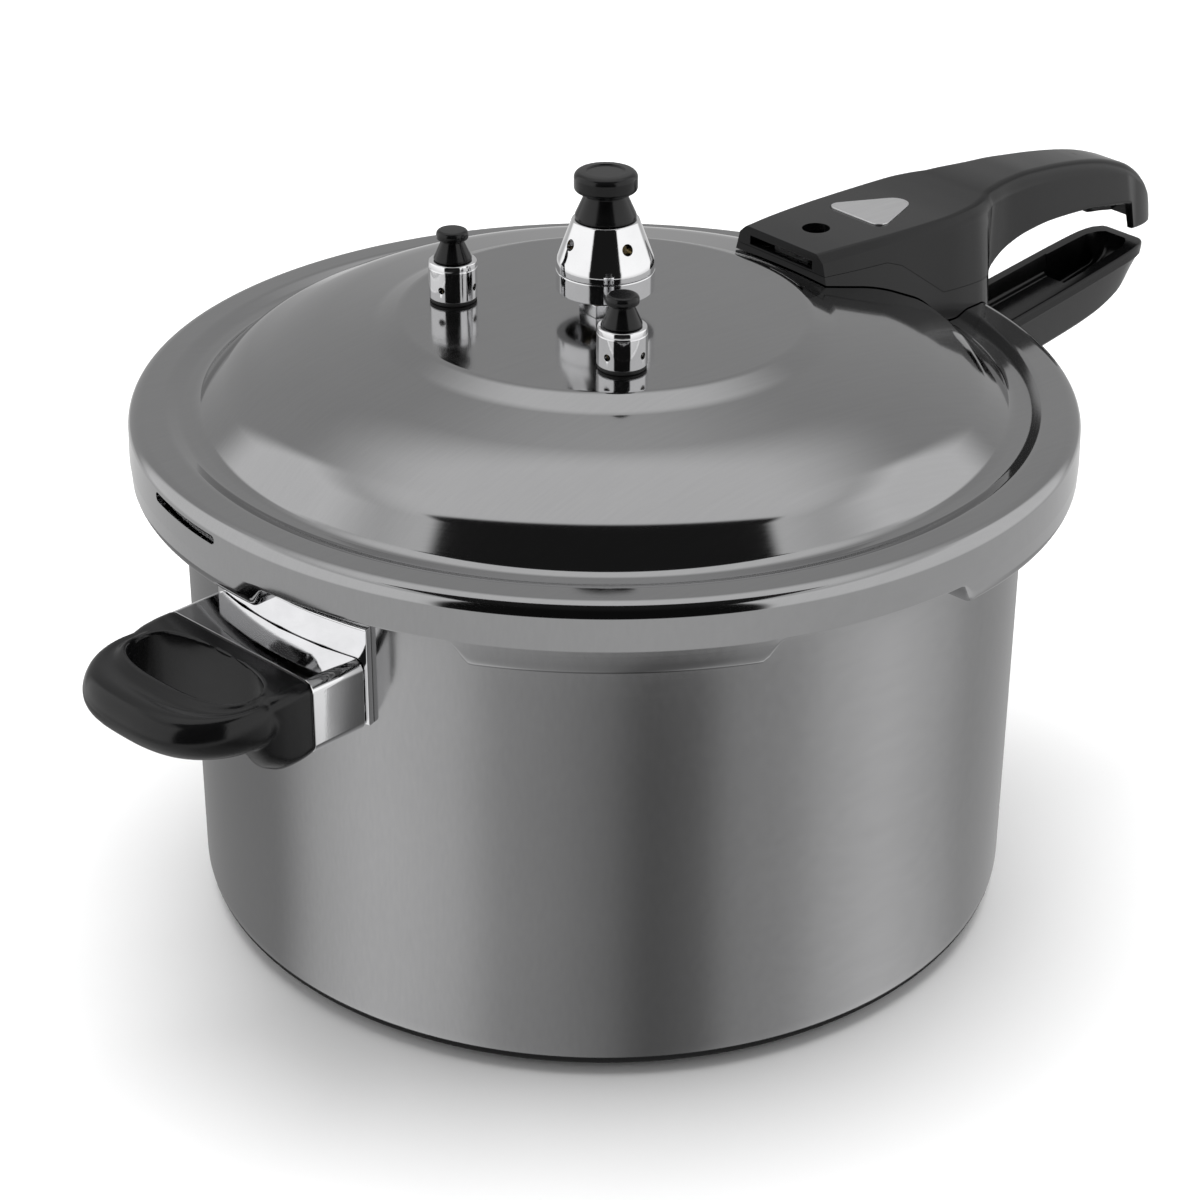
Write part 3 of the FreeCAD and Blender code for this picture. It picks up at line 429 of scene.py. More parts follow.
def bright_plate(name, dark, light, roughness):
    """Chromium plate: a mirror with faint smudges and pin marks."""
    material, nodes, shader, place = new_material(name)
    smudges = nodes.noise(place, 110.0, 5.0)
    pits = nodes.noise(place, 1500.0, 1.0)
    nodes.set(shader.inputs["Base Color"], nodes.shade(nodes.ramp(smudges, 0, 1), dark, light))
    nodes.set(shader.inputs["Roughness"], nodes.ramp(smudges, roughness * 0.5, roughness * 2.0))
    shader.inputs["Metallic"].default_value = 1.0
    relief = nodes.add("ShaderNodeBump", {"Strength": 0.03, "Distance": 0.0001, "Height": pits})
    nodes.set(shader.inputs["Normal"], relief.outputs[0])
    return material


def matt_rubber(name, dark, light):
    """Moulded rubber with a fine grain and a dusty bloom."""
    material, nodes, shader, place = new_material(name)
    grain = nodes.noise(place, 1200.0, 3.0)
    bloom = nodes.noise(place, 60.0, 4.0)
    nodes.set(shader.inputs["Base Color"], nodes.shade(nodes.ramp(bloom, 0, 1), dark, light))
    nodes.set(shader.inputs["Roughness"], nodes.ramp(bloom, 0.5, 0.75))
    relief = nodes.add("ShaderNodeBump", {"Strength": 0.25, "Distance": 0.0001, "Height": grain})
    nodes.set(shader.inputs["Normal"], relief.outputs[0])
    return material


def grey(level):
    return (level, level, level * 1.01)


MATERIALS = {
    "pot_aluminium": spun_metal("pot_satin_aluminium", grey(0.36), grey(0.40), 0.13, 0.04, 0.04),
    "lid_aluminium": spun_metal("lid_polished_aluminium", grey(0.36), grey(0.39), 0.075, 0.03, 0.015, 0.0605),
    "black_bakelite": moulded_plastic("black_bakelite", (0.0034, 0.0034, 0.0036), 0.17),
    "silicone_rubber": matt_rubber("translucent_silicone", grey(0.48), grey(0.6)),
    "black_rubber": matt_rubber("black_rubber", grey(0.018), grey(0.035)),
    "chrome_plate": bright_plate("chrome_plate", grey(0.84), grey(0.90), 0.04),
    "badge_metal": spun_metal("badge_satin_metal", grey(0.74), grey(0.84), 0.3, 0.05, 0.05),
    # brass darkened below its own tone: painted shade for the core seen through the weight's holes
    "brass_fittings": spun_metal("turned_brass", (0.26, 0.19, 0.08), (0.40, 0.30, 0.14), 0.3, 0.06, 0.1),
    "rivet_aluminium": spun_metal("rivet_aluminium", grey(0.62), grey(0.75), 0.3, 0.08, 0.1),
    "steel_fittings": spun_metal("pressed_steel", grey(0.5), grey(0.62), 0.28, 0.08, 0.1),
}


def dress_cad_nodes():
    """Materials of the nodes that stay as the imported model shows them."""
    for part in frame["record"]["subparts"]:
        node = frame["nodes"][part["node"]]
        node.data.materials.clear()
        node.data.materials.append(MATERIALS[part["material_slot"]])


def dressed(piece, body, slot, nodes=(), crease=38.0, edge=0.0):
    """Smooth the piece's shading, give it its material, hang it on its body and hide the nodes it replaces.
    """
    if edge:
        bevel = piece.modifiers.new("edge", "BEVEL")
        bevel.width = edge * MM
        bevel.segments = 2
        bevel.limit_method = "ANGLE"
        bevel.angle_limit = math.radians(crease)
        settle(piece)
    piece.data.materials.clear()
    piece.data.materials.append(MATERIALS[slot])
    for face in piece.data.polygons:
        face.use_smooth = True
    piece.data.set_sharp_from_angle(angle=math.radians(crease))
    weighted = piece.modifiers.new("weighted", "WEIGHTED_NORMAL")
    weighted.keep_sharp = True
    settle(piece)
    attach(piece, body)
    if nodes:
        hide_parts(*nodes)
    return piece


# ---------------------------------------------------------------- pot
def make_pot():
    inside = POT_RADIUS - 3.0
    bead = POT_RADIUS + 2.5
    body = lathe("pot_body", [
        (0, 0), (POT_RADIUS, 0, 11.0), (POT_RADIUS, RIM_TOP - 5.5, 1.5), (bead, RIM_TOP - 5.5, 1.0),
        (bead, RIM_TOP, 1.5), (inside, RIM_TOP, 1.2), (inside, 4.5, 8.0), (0, 4.5),
    ], detail=1.0, steps=12)
    lugs = []
    for index in range(LUG_COUNT):
        start = LUG_PHASE + index * 360 / LUG_COUNT - POT_LUG_ANGLE / 2
        lug = [
            (POT_RADIUS - 1, RIM_TOP - 7.8), (POT_RADIUS + 10.5, RIM_TOP - 7.8, 1.2),
            (POT_RADIUS + 10.5, RIM_TOP - 0.8, 1.5), (POT_RADIUS - 1, RIM_TOP - 0.8),
        ]
        lugs.append(lathe("lug", lug, start=start, sweep=POT_LUG_ANGLE))
    dressed(joined("pot_body", [body, *lugs]), "pot", "pot_aluminium", ["pot_shell"])


# ---------------------------------------------------------------- lid
SKIRT_FOOT = 152.0          # where the plain skirt ends and its lobes begin
LUG_INNER_RADIUS = 133.3
VENT_BORE = 5.2
VALVE_BORE = 4.2
FLOAT_BORE = 3.6
LID_OUTLINE = [
    # radius, height, corner radius
    (0.0, LID_TOP), (62.5, LID_TOP, 7.0), (70.0, LID_TOP - 3.0, 15.0), (95.0, 182.0, 70.0),
    (113.0, 173.7, 28.0), (124.6, 163.3, 5.0), (129.4, 163.3, 6.0), (134.0, 165.0, 6.0),
    (SKIRT_RADIUS - 0.4, 165.0, 4.4), (SKIRT_RADIUS, SKIRT_FOOT),
]
SKIRT_POINTS = 56
LOBE_BLEND = 2.4       # degrees over which a lobe of the skirt rises to the plain edge
SLOT_AZIMUTHS = (168.5, 181.5)
SLOT_HEIGHT = 159.0
SLOT_HALF = 1.4


def lobe_share(azimuth):
    """1 inside the lobes that fold under the pot's lugs, 0 between them, and a soft step at their ends."""
    pitch = 360 / LUG_COUNT
    away = abs((azimuth - LUG_PHASE + pitch / 2) % pitch - pitch / 2)
    share = (LID_LUG_ANGLE / 2 - away) / LOBE_BLEND + 0.5
    share = min(max(share, 0.0), 1.0)
    return share * share * (3 - 2 * share)


def lid_envelope(gap):
    """Solid that fills the lid, grown by a gap; it trims what stands on the dome."""
    outside = inset(rounded(LID_OUTLINE, closed=False), -gap)
    outside[0].x = 0.0
    closing = [Vector((outside[-1].x, 149.0)), Vector((0.0, 149.0))]
    outline = [(p.x, p.y) for p in outside + closing]
    return lathe("cutter", outline, detail=1.5)


def make_lid():
    top = rounded(LID_OUTLINE, closed=False, steps=10)
    under = list(reversed(inset(top, LID_SHEET)))
    under[-1].x = 0.0
    wall = SKIRT_RADIUS - LID_SHEET
    folded = spread(rounded([
        (SKIRT_RADIUS, SKIRT_FOOT), (SKIRT_RADIUS - 0.2, LID_EDGE, 3.6), (LUG_INNER_RADIUS, LID_EDGE, 0.8),
        (LUG_INNER_RADIUS, LID_EDGE + LID_SHEET, 0.8), (wall - 0.2, LID_EDGE + LID_SHEET, 1.1),
        (wall, SKIRT_FOOT),
    ], closed=False), SKIRT_POINTS)
    plain = spread(rounded([
        (SKIRT_RADIUS, SKIRT_FOOT), (SKIRT_RADIUS, SKIRT_FOOT - 1, 0.7), (wall, SKIRT_FOOT - 1, 0.7),
        (wall, SKIRT_FOOT),
    ], closed=False), SKIRT_POINTS)
    rings = []
    for turn in range(600):
        azimuth = turn * 0.6
        share = lobe_share(azimuth)
        skirt = [edge.lerp(lobe, share) for edge, lobe in zip(plain, folded)]
        profile = top[:-1] + skirt + under[1:]
        angle = math.radians(azimuth)
        rings.append([Vector((p.x * math.cos(angle), p.x * math.sin(angle), p.y)) for p in profile])
    lid = skin("lid_dome", rings, around=True)
    holes = [drum(VENT_BORE, 180, 200), drum(FLOAT_BORE, 170, 200, FLOAT_X)]
    for letter in "ab":
        centre = middle_mm("valve_%s_seat" % letter)
        holes.append(drum(VALVE_BORE, 180, 200, centre.x, centre.y))
    slot_points = [
        (SKIRT_RADIUS - 6, SLOT_HEIGHT - SLOT_HALF), (SKIRT_RADIUS + 3, SLOT_HEIGHT - SLOT_HALF),
        (SKIRT_RADIUS + 3, SLOT_HEIGHT + SLOT_HALF), (SKIRT_RADIUS - 6, SLOT_HEIGHT + SLOT_HALF),
    ]
    first, last = SLOT_AZIMUTHS
    holes.append(lathe("cutter", slot_points, start=first, sweep=last - first))
    for azimuth in SLOT_AZIMUTHS:
        outward = turned(azimuth) @ Vector((1, 0, 0))
        foot = outward * (SKIRT_RADIUS - 6) + Vector((0, 0, SLOT_HEIGHT))
        holes.append(rod(SLOT_HALF, foot, outward, 9))
    combine(lid, holes)
    dressed(lid, "lid", "lid_aluminium", ["lid_shell"], crease=32.0)
    boss = lathe("lid_float_boss", [
        (FLOAT_BORE, 179.0), (8.5, 179.0, 0.8), (8.5, 186.0), (FLOAT_BORE, 186.0),
    ], around=(FLOAT_X, 0))
    dressed(boss, "lid", "lid_aluminium")


def make_sealing_ring():
    low, high = box_mm("sealing_ring")
    inner = 128.6
    outer = high.x
    ring = lathe("sealing_ring_rubber", [
        (inner, low.z), (outer, low.z, 0.8), (outer, high.z, 1.2), (inner, high.z), (inner, high.z - 1.8),
        (outer - 3, high.z - 1.8, 0.6), (outer - 3, low.z + 1.8, 0.6), (inner, low.z + 1.8),
    ], detail=1.5, steps=4)
    dressed(ring, "seal", "silicone_rubber", ["sealing_ring"])


# ---------------------------------------------------------------- weight and vent
WEIGHT_RADIUS = 15.0
WEIGHT_HOLLOW = 12.2
WEIGHT_CONE_RADIUS = 10.1
WEIGHT_BORE = 4.0
WEIGHT_HOLE = 1.8
WEIGHT_HOLE_TURN = -7.5     # degrees from +X to the first of the four holes
GRIP_RADIUS = 9.6


def make_weight():
    band_top = WEIGHT_BOTTOM + 6.5
    ring = lathe("weight_band", [
        (WEIGHT_HOLLOW, WEIGHT_BOTTOM), (WEIGHT_RADIUS, WEIGHT_BOTTOM, 0.6),
        (WEIGHT_RADIUS, band_top, 0.35), (WEIGHT_HOLLOW, band_top),
    ], steps=4)
    dressed(ring, "weight", "chrome_plate", ["weight_base_ring"])
    body = lathe("weight_cone", [
        (WEIGHT_HOLLOW, band_top + 0.1), (WEIGHT_RADIUS - 0.1, band_top + 0.1, 0.4),
        (WEIGHT_RADIUS - 0.1, band_top + 2.9, 12.0), (WEIGHT_CONE_RADIUS, WEIGHT_CONE_TOP, 0.8),
        (WEIGHT_BORE, WEIGHT_CONE_TOP), (WEIGHT_BORE, 214.5), (8.2, 214.5, 1.0), (WEIGHT_HOLLOW, 205.0),
    ], steps=6)
    holes = []
    for index in range(4):
        turn = turned(index * 90 + WEIGHT_HOLE_TURN)
        outward = turn @ Vector((1, 0, 0.25))
        foot = turn @ Vector((6, 0, 0)) + Vector((0, 0, 211.5))
        holes.append(rod(WEIGHT_HOLE, foot, outward, 14))
    combine(body, holes)
    dressed(body, "weight", "chrome_plate", ["weight_body"], edge=0.18, crease=30.0)
    top = WEIGHT_TOP
    knob = lathe("weight_grip", [
        (0, WEIGHT_CONE_TOP + 0.1), (9.4, WEIGHT_CONE_TOP + 0.1, 0.5), (9.2, 220.8, 0.8), (6.5, 226.8, 1.2),
        (6.9, 228.0, 0.6), (GRIP_RADIUS, 228.1, 2.9), (GRIP_RADIUS, top - 0.2, 3.0), (5.9, top, 0.2),
        (5.6, top - 0.4, 0.2),
        (0, top - 0.4),
    ], steps=7)
    dressed(knob, "weight", "black_bakelite", ["weight_knob"], crease=60.0)


def make_vent():
    head = box_mm("vent_pipe")[1].z
    pipe = lathe("vent_tube", [
        (1.6, 178.5), (5.0, 178.5, 0.4), (5.0, 191.0), (3.8, 194.0, 0.6), (3.8, 200.0, 0.6),
        (4.8, 201.2, 0.3), (4.8, head, 0.8), (1.6, head, 0.4),
    ])
    corners = []
    for index in range(6):
        corner = turned(index * 60 + 30) @ Vector((14.0 / math.sqrt(3), 0, 0))
        corners.append((corner.x, corner.y))
    flats = upright([Vector(c) for c in corners], LID_TOP, LID_TOP + 4)
    flats = combine(flats, [drum(4.5, LID_TOP - 1, LID_TOP + 5)])
    dressed(joined("vent_tube", [pipe, flats]), "lid", "chrome_plate", ["vent_pipe"], edge=0.25)


# ---------------------------------------------------------------- small valves
VALVE_RADIUS = 7.45
STEM_RADIUS = 1.22


def make_valve(letter, hole_turn):
    centre = middle_mm("valve_%s_housing" % letter)
    azimuth = math.degrees(math.atan2(centre.y, centre.x))
    at = (centre.x, centre.y)
    foot = LID_TOP + 1.2
    radius = VALVE_RADIUS
    top = LID_TOP + 13.0
    name = "valve_%s_" % letter
    gasket = lathe(name + "gasket_ring", [
        (4.3, LID_TOP), (radius - 0.25, LID_TOP, 0.4), (radius - 0.25, foot, 0.4), (4.3, foot),
    ], around=at, steps=4)
    dressed(gasket, "lid", "black_rubber", [name + "gasket"])
    housing = lathe(name + "case", [
        (6.2, foot), (radius, foot, 0.45), (radius, LID_TOP + 10.8, 0.2), (radius - 0.3, LID_TOP + 11.0),
        (radius, LID_TOP + 11.2, 0.05), (radius - 0.2, top - 0.1, 1.2), (6.3, top, 0.1), (1.3, top),
        (1.3, top - 2.0), (6.2, top - 2.0),
    ], around=at, steps=5, detail=3.0)
    holes = []
    for index in range(4):
        outward = turned(azimuth + hole_turn + index * 90) @ Vector((1, 0, 0))
        holes.append(rod(1.1, outward * 4 + Vector((*at, LID_TOP + 5.2)), outward, 6))
    combine(housing, holes)
    dressed(housing, "lid", "chrome_plate", [name + "housing"], edge=0.1, crease=30.0)
    knob = lathe(name + "grip", [
        (STEM_RADIUS, top + 0.15), (5.9, top + 0.15, 0.4), (5.8, top + 0.9, 0.5), (3.5, top + 6.0, 0.7),
        (3.7, top + 6.5, 0.4), (4.9, top + 6.7, 1.3), (4.9, top + 9.5, 1.3), (0, top + 9.5), (0, top + 7.0),
        (STEM_RADIUS, top + 7.0),
    ], around=at, steps=6, detail=4.0)
    dressed(knob, "valve_%s_plunger" % letter, "black_bakelite", [name + "knob"], crease=60.0)
    stem = lathe(name + "rod", [
        (0, foot + 1.2), (0.5, foot + 1.2), (1.3, foot + 1.85), (3.4, foot + 1.85, 0.2),
        (3.4, foot + 3.2, 0.2), (STEM_RADIUS, foot + 3.2), (STEM_RADIUS, top + 6.9), (0, top + 6.9),
    ], around=at, steps=3, detail=6.0)
    dressed(stem, "valve_%s_plunger" % letter, "steel_fittings", [name + "stem"])


# ---------------------------------------------------------------- upper handle
NECK_FOOT = 158.6
HANDLE_STATIONS = [
    # x, underside, top, half-width at the underside, half-width at the top, corner radius
    (72.0, 180.0, 195.4, 23.0, 19.0, 1.5),
    (85.0, 178.0, 195.8, 24.8, 20.5, 1.8),
    (105.0, 168.0, 196.0, 26.6, 22.0, 2.2),
    (125.0, NECK_FOOT, 196.2, 27.0, 22.5, 3.0),
    (138.0, NECK_FOOT, 196.8, 26.0, 21.5, 3.6),
    (144.5, NECK_FOOT, 197.3, 23.6, 19.6, 4.0),
    (148.0, NECK_FOOT, 197.6, 20.0, 18.0, 4.2),
    (149.6, NECK_FOOT + 1.4, 197.8, 16.9, 17.0, 4.4),
    (150.6, 168.5, 197.9, 16.4, 16.6, 4.4),
    (154.5, 172.8, 198.2, 15.8, 15.6, 4.6),
    (161.0, 176.0, 198.4, 15.0, 14.0, 4.6),
    (171.0, 178.4, 198.4, 14.2, 12.6, 4.6),
    (185.0, 179.6, 197.5, 13.6, 11.4, 4.6),
    (200.0, 179.2, 195.8, 13.2, 10.6, 4.6),
    (214.0, 177.6, 193.2, 13.0, 10.0, 4.6),
    (226.0, 175.4, 189.3, 12.6, 9.6, 4.6),
    (228.2, 166.0, 188.3, 12.4, 9.4, 4.6),
    (234.5, 165.6, 184.0, 11.4, 8.8, 4.4),
    (239.2, 165.4, 178.8, 9.6, 7.6, 4.0),
    (241.2, 165.7, 175.0, 7.9, 6.6, 3.0),
    (242.0, 166.6, 171.5, 6.4, 5.6, 1.6),
]
HANDLE_WALL = 2.6
SEAM = [(60.0, 189.2), (97.0, 188.6), (103.0, 186.4), (121.0, 173.4), (160.0, 171.6)]
HANDLE_SCREW_X = 153.5
GRIP_SCREW_X = 204.0
GRIP_COVER = (158.4, 211.0)


def handle_ring(x, low, high, low_half, high_half, radius, edge=2.6):
    edge = min(edge, (high - low) * 0.3)
    outline = rounded([
        (-low_half, low, 1.2), (low_half, low, 1.2), (high_half + 0.4, high - edge, radius),
        (high_half - edge, high, radius), (edge - high_half, high, radius),
        (-high_half - 0.4, high - edge, radius),
    ], steps=6)
    return [Vector((x, p.x, p.y)) for p in outline]


def handle_room(places):
    """Cutter for the inside of the upper handle, from (x, lowest height, narrowing of the foot) places."""
    rings = []
    for x, low, narrower in places:
        _, high, low_half, high_half, _ = eased(HANDLE_STATIONS, x)
        rings.append(handle_ring(
            x, low, high - HANDLE_WALL, max(low_half - HANDLE_WALL - narrower, high_half - HANDLE_WALL - 1),
            high_half - HANDLE_WALL, 0.5))
    return skin("cutter", rings)


def badge_outline(gap):
    return rounded([
        (103.0 - gap, -14.0 - gap, 3.4), (133.5 + gap, 0.0, 5.0), (103.0 - gap, 14.0 + gap, 3.4),
    ])


def make_upper_handle():
    rings = [handle_ring(x, *eased(HANDLE_STATIONS, x)) for x in between(HANDLE_STATIONS, 2.0)]
    body = skin("lid_grip", rings)
    front = handle_room([(x, max(eased(HANDLE_STATIONS, x)[0] - 1, NECK_FOOT - 1), 1.0)
                         for x in (74.6, 85.0, 105.0, 125.0, 138.0, 143.0, 146.8)])
    combine(front, [lid_envelope(HANDLE_WALL + 0.4)])
    throat = handle_room([(146.0, 175.5, 4.0), (150.0, 175.5, 4.0), (157.9, 178.0, 4.0)])
    grip = handle_room([(x, eased(HANDLE_STATIONS, x)[0] - 3, 0.0)
                        for x in (157.9, 171.0, 185.0, 200.0, 214.0, 225.6, 228.4, 233.5, 238.4)])
    combine(body, [front, throat, grip, lid_envelope(0.5)])
    below = sideways([Vector(p) for p in SEAM + [(160.0, 150.0), (60.0, 150.0)]], 40)
    grip_side = block((149.8, -41, 149), (261, 41, 216))
    combine(below, [grip_side])
    base = combine(copied(body, "lid_grip_foot"), [copied(below)], "INTERSECT")
    combine(base, [drum(9.3, 160, 195, FLOAT_X), block((94.5, -13.6, 160), (119.5, 13.6, 195))])
    transformed(base, Matrix.Translation(Vector((0, 0, -0.15 * MM))))
    shell = combine(body, [below])
    combine(shell, [
        drum(4.5, 185, 205, FLOAT_X), block((60, -14.5, 189.6), (76.5, 14.5, 192.6)),
        upright(badge_outline(0.15), 195.4, 199.0), block((140, -9.4, 179.2), (160, 9.4, 182.4)),
    ])
    posts = [drum(4.6, 176, 196.5, HANDLE_SCREW_X), drum(4.2, 182.3, 194.5, GRIP_SCREW_X)]
    combine(posts[0], [drum(1.7, 170, 192.5, HANDLE_SCREW_X)])
    combine(posts[1], [drum(1.7, 170, 190.5, GRIP_SCREW_X)])
    dressed(joined("lid_grip", [shell, *posts]), "lid", "black_bakelite", ["lid_handle"], crease=36.0)
    dressed(base, "lid", "black_bakelite", ["lid_handle_base"], crease=36.0)
    badge = upright(badge_outline(0.0), 195.5, 196.5, "lid_grip_badge")
    dressed(badge, "lid", "badge_metal", ["lid_handle_badge"], edge=0.25)


def make_grip_cover():
    """Curved strip that closes the grip's underside."""
    start, end = GRIP_COVER
    bottom = []
    for x in between([(start,), (end,)], 3.0):
        bottom.append(Vector((x, eased(HANDLE_STATIONS, x)[0] + 0.7)))
    top = [point + Vector((0, 2.0)) for point in reversed(bottom)]
    strip = sideways(bottom + top, 8.8, "lid_grip_strip")
    seat = eased(HANDLE_STATIONS, GRIP_SCREW_X)[0] + 1.5
    combine(strip, [drum(2.0, 170, 190, GRIP_SCREW_X), drum(3.4, 170, seat, GRIP_SCREW_X)])
    dressed(strip, "lid", "black_bakelite", ["lid_grip_cover"], edge=0.3)


# ---------------------------------------------------------------- lower handle
LOWER_STATIONS = [
    # x, underside, top, half-width at the underside, half-width at the top
    (132.3, 120.4, 141.4, 9.5, 14.5), (146.8, 122.9, 141.4, 9.5, 14.5), (148.9, 123.2, 144.4, 9.5, 14.5),
    (170.0, 126.8, 148.2, 9.3, 14.3), (195.0, 131.2, 152.6, 9.0, 14.0), (215.0, 135.6, 156.2, 8.6, 13.6),
    (227.0, 140.6, 158.3, 8.0, 13.0), (233.5, 146.6, 159.2, 6.6, 11.6), (236.6, 150.9, 159.4, 5.4, 9.6),
    (237.5, 152.8, 159.2, 4.6, 8.2),
]


def lower_ring(x, low, high, low_half, high_half):
    band = min(4.0, (high - low) * 0.3)
    outline = rounded([
        (-low_half, low, 3.0), (low_half, low, 3.0), (high_half - 0.8, high - band, 0.4),
        (high_half, high - band, 0.4), (high_half, high, 1.3), (-high_half, high, 1.3),
        (-high_half, high - band, 0.4),
        (0.8 - high_half, high - band, 0.4),
    ], steps=5)
    return [Vector((x, p.x, p.y)) for p in outline]


def trough(places):
    """Rounded cutter from (x, floor height, half-width of the floor, top height, half-width at the top)."""
    rings = []
    for x, low, low_half, high, high_half in places:
        corners = [(-low_half, low, 2.6), (low_half, low, 2.6), (high_half, high), (-high_half, high)]
        outline = rounded(corners, steps=5)
        rings.append([Vector((x, p.x, p.y)) for p in outline])
    return skin("cutter", rings)


def make_lower_handle():
    rings = [lower_ring(x, *eased(LOWER_STATIONS, x)) for x in between(LOWER_STATIONS, 2.5)]
    handle = skin("pot_grip", rings)
    channel = trough([
        (150.5, 139.6, 7.4, 150.0, 11.2), (151.6, 138.4, 8.2, 150.2, 11.6), (180.0, 143.4, 8.0, 155.2, 11.5),
        (208.5, 148.4, 7.8, 160.2, 11.3),
    ])
    pocket = trough([
        (206.5, 141.6, 6.6, 162.0, 10.8), (227.5, 147.0, 5.6, 164.0, 9.6), (231.5, 151.0, 4.6, 165.0, 8.0),
        (233.6, 154.5, 3.2, 166.0, 6.4),
    ])
    combine(handle, [
        channel, pocket, drum(132.15, 100, 170), block((130, -6.2, 125.8), (162.2, 6.2, 134.2)),
        drum(2.1, 118, 127, 150.0), drum(4.2, 118, 124.4, 150.0),
    ])
    dressed(handle, "pot", "black_bakelite", ["pot_handle"], edge=0.35, crease=34.0)


# ---------------------------------------------------------------- helper handle
# Made along +X and turned into place.
SLEEVE_START = 133.0
SLEEVE_END = 147.5
HELPER_HALF = 31.5


def helper_outline(grow, low):
    """Upright rounded rectangle of the sleeve and of the block behind it."""
    half = HELPER_HALF + grow
    return rounded([
        (-half, low - grow, 3.5), (half, low - grow, 3.5), (half, HELPER_TOP + grow, 3.5),
        (-half, HELPER_TOP + grow, 3.5),
    ], steps=6)


def make_sleeve():
    place = turned(HELPER_AZIMUTH)
    low = box_mm("helper_sleeve")[0].z
    outer = skin("helper_cuff", [
        [Vector((x, p.x, p.y)) for p in helper_outline(0.0, low)]
        for x in (126.0, SLEEVE_END - 0.4, SLEEVE_END)
    ])
    inner = skin("cutter", [
        [Vector((x, p.x, p.y)) for p in helper_outline(-1.2, low)] for x in (120.0, SLEEVE_END + 1)
    ])
    combine(outer, [inner, drum(SLEEVE_START, 90, 150)])
    dressed(transformed(outer, place), "pot", "chrome_plate", ["helper_sleeve"], edge=0.2, crease=34.0)


BLOCK_STATIONS = [
    # distance from the pot's axis, underside, top, half-width, corner radius
    (SLEEVE_END + 0.1, 108.5, HELPER_TOP, 31.5, 3.5), (151.0, 107.6, HELPER_TOP, 31.5, 3.8),
    (157.0, 106.8, HELPER_TOP - 0.3, 31.3, 5.0), (162.0, 108.4, HELPER_TOP - 1.2, 30.6, 6.0),
    (165.6, 112.6, HELPER_TOP - 3.0, 29.6, 6.0), (167.6, 117.6, HELPER_TOP - 5.4, 28.6, 4.0),
]


def loop_ring(angle):
    """Section of the finger loop at an angle about its hole: inner bead, dish and fat outer roll."""
    cosine, sine = math.cos(angle), math.sin(angle)
    hole = Vector((163.0 + 10.2 * math.copysign(abs(cosine) ** 0.72, cosine),
                   24.6 * math.copysign(abs(sine) ** 0.80, sine)))
    if cosine > 0:
        reach = Vector((163.0 + 28.0 * abs(cosine) ** 0.86, 31.5 * math.copysign(abs(sine) ** 0.72, sine)))
    else:
        reach = Vector((163.0 - 14.0 * abs(cosine) ** 0.6, 31.2 * math.copysign(abs(sine) ** 0.5, sine)))
    low = 117.5
    high = HELPER_TOP - 0.3
    section = [
        (0.10, low + 0.6), (0.0, low + 2.4), (-0.02, low + 6.5), (0.0, high - 2.4), (0.05, high - 0.7),
        (0.13, high), (0.22, high - 0.5), (0.32, high - 1.5), (0.46, high - 1.5), (0.62, high - 1.0),
        (0.78, high - 1.4), (0.90, high - 3.0), (0.98, high - 5.6), (1.0, high - 8.0), (0.97, low + 3.2),
        (0.86, low + 0.9), (0.68, low), (0.36, low),
    ]
    ring = []
    for share, height in section:
        flat = hole.lerp(reach, share)
        ring.append(Vector((flat.x, flat.y, height)))
    return ring


def make_helper_handle():
    place = turned(HELPER_AZIMUTH)
    rings = []
    for x in between(BLOCK_STATIONS, 1.0):
        low, high, half, radius = eased(BLOCK_STATIONS, x)
        corners = [(-half, low, radius), (half, low, radius), (half, high, 3.2), (-half, high, 3.2)]
        outline = rounded(corners, steps=7)
        rings.append([Vector((x, p.x, p.y)) for p in outline])
    base = skin("cutter", rings)
    loop = skin("helper_grip", [loop_ring(math.radians(step * 3)) for step in range(120)], around=True)
    refine = loop.modifiers.new("round", "SUBSURF")
    refine.levels = 1
    settle(loop)
    well = []
    for step in range(120):
        ring = loop_ring(math.radians(step * 3))
        well.append(Vector((ring[2].x, ring[2].y)))
    combine(base, [upright(well, 95, 145)])
    combine(loop, [base], "UNION")
    soften = loop.modifiers.new("soften", "REMESH")
    soften.mode = "VOXEL"
    soften.voxel_size = 0.55 * MM
    settle(loop)
    relax = loop.modifiers.new("relax", "LAPLACIANSMOOTH")
    relax.iterations = 6
    relax.lambda_factor = 0.35
    relax.use_volume_preserve = True
    settle(loop)
    dressed(transformed(loop, place), "pot", "black_bakelite", ["helper_handle"], crease=75.0)


def make_bracket_plates():
    """Curved plate on the pot's wall behind the helper handle, with a tongue reaching out from it."""
    low, high = box_mm("helper_bracket")
    inner = POT_RADIUS + 0.05
    outer = inner + 2.4
    plate = lathe("helper_wall_plate", [
        (inner, low.z), (outer, low.z, 0.7), (outer, high.z, 0.7), (inner, high.z),
    ], start=HELPER_AZIMUTH - 14.2, sweep=28.4, detail=1.0)
    tongue = transformed(block((131.5, -20, 113.5), (147.0, 20, 126.5)), turned(HELPER_AZIMUTH))
    dressed(joined("helper_wall_plate", [plate, tongue]), "pot", "chrome_plate", ["helper_bracket"], edge=0.3)


# ---------------------------------------------------------------- studio
def softened(nodes, value, start, end, soft):
    """1 between two angles, falling to 0 over a soft edge on both sides."""
    rise = nodes.step(value, start - soft, start + soft)
    fall = nodes.step(value, end - soft, end + soft, 1.0, 0.0)
    return nodes.math("MULTIPLY", rise, fall)


def softened_patch(nodes, around, above, start, end, low, high, soft):
    """1 inside a patch of the sky, between two angles round and two angles up."""
    inside_round = softened(nodes, around, start, end, soft)
    inside_height = softened(nodes, above, low, high, soft)
    return nodes.math("MULTIPLY", inside_round, inside_height)


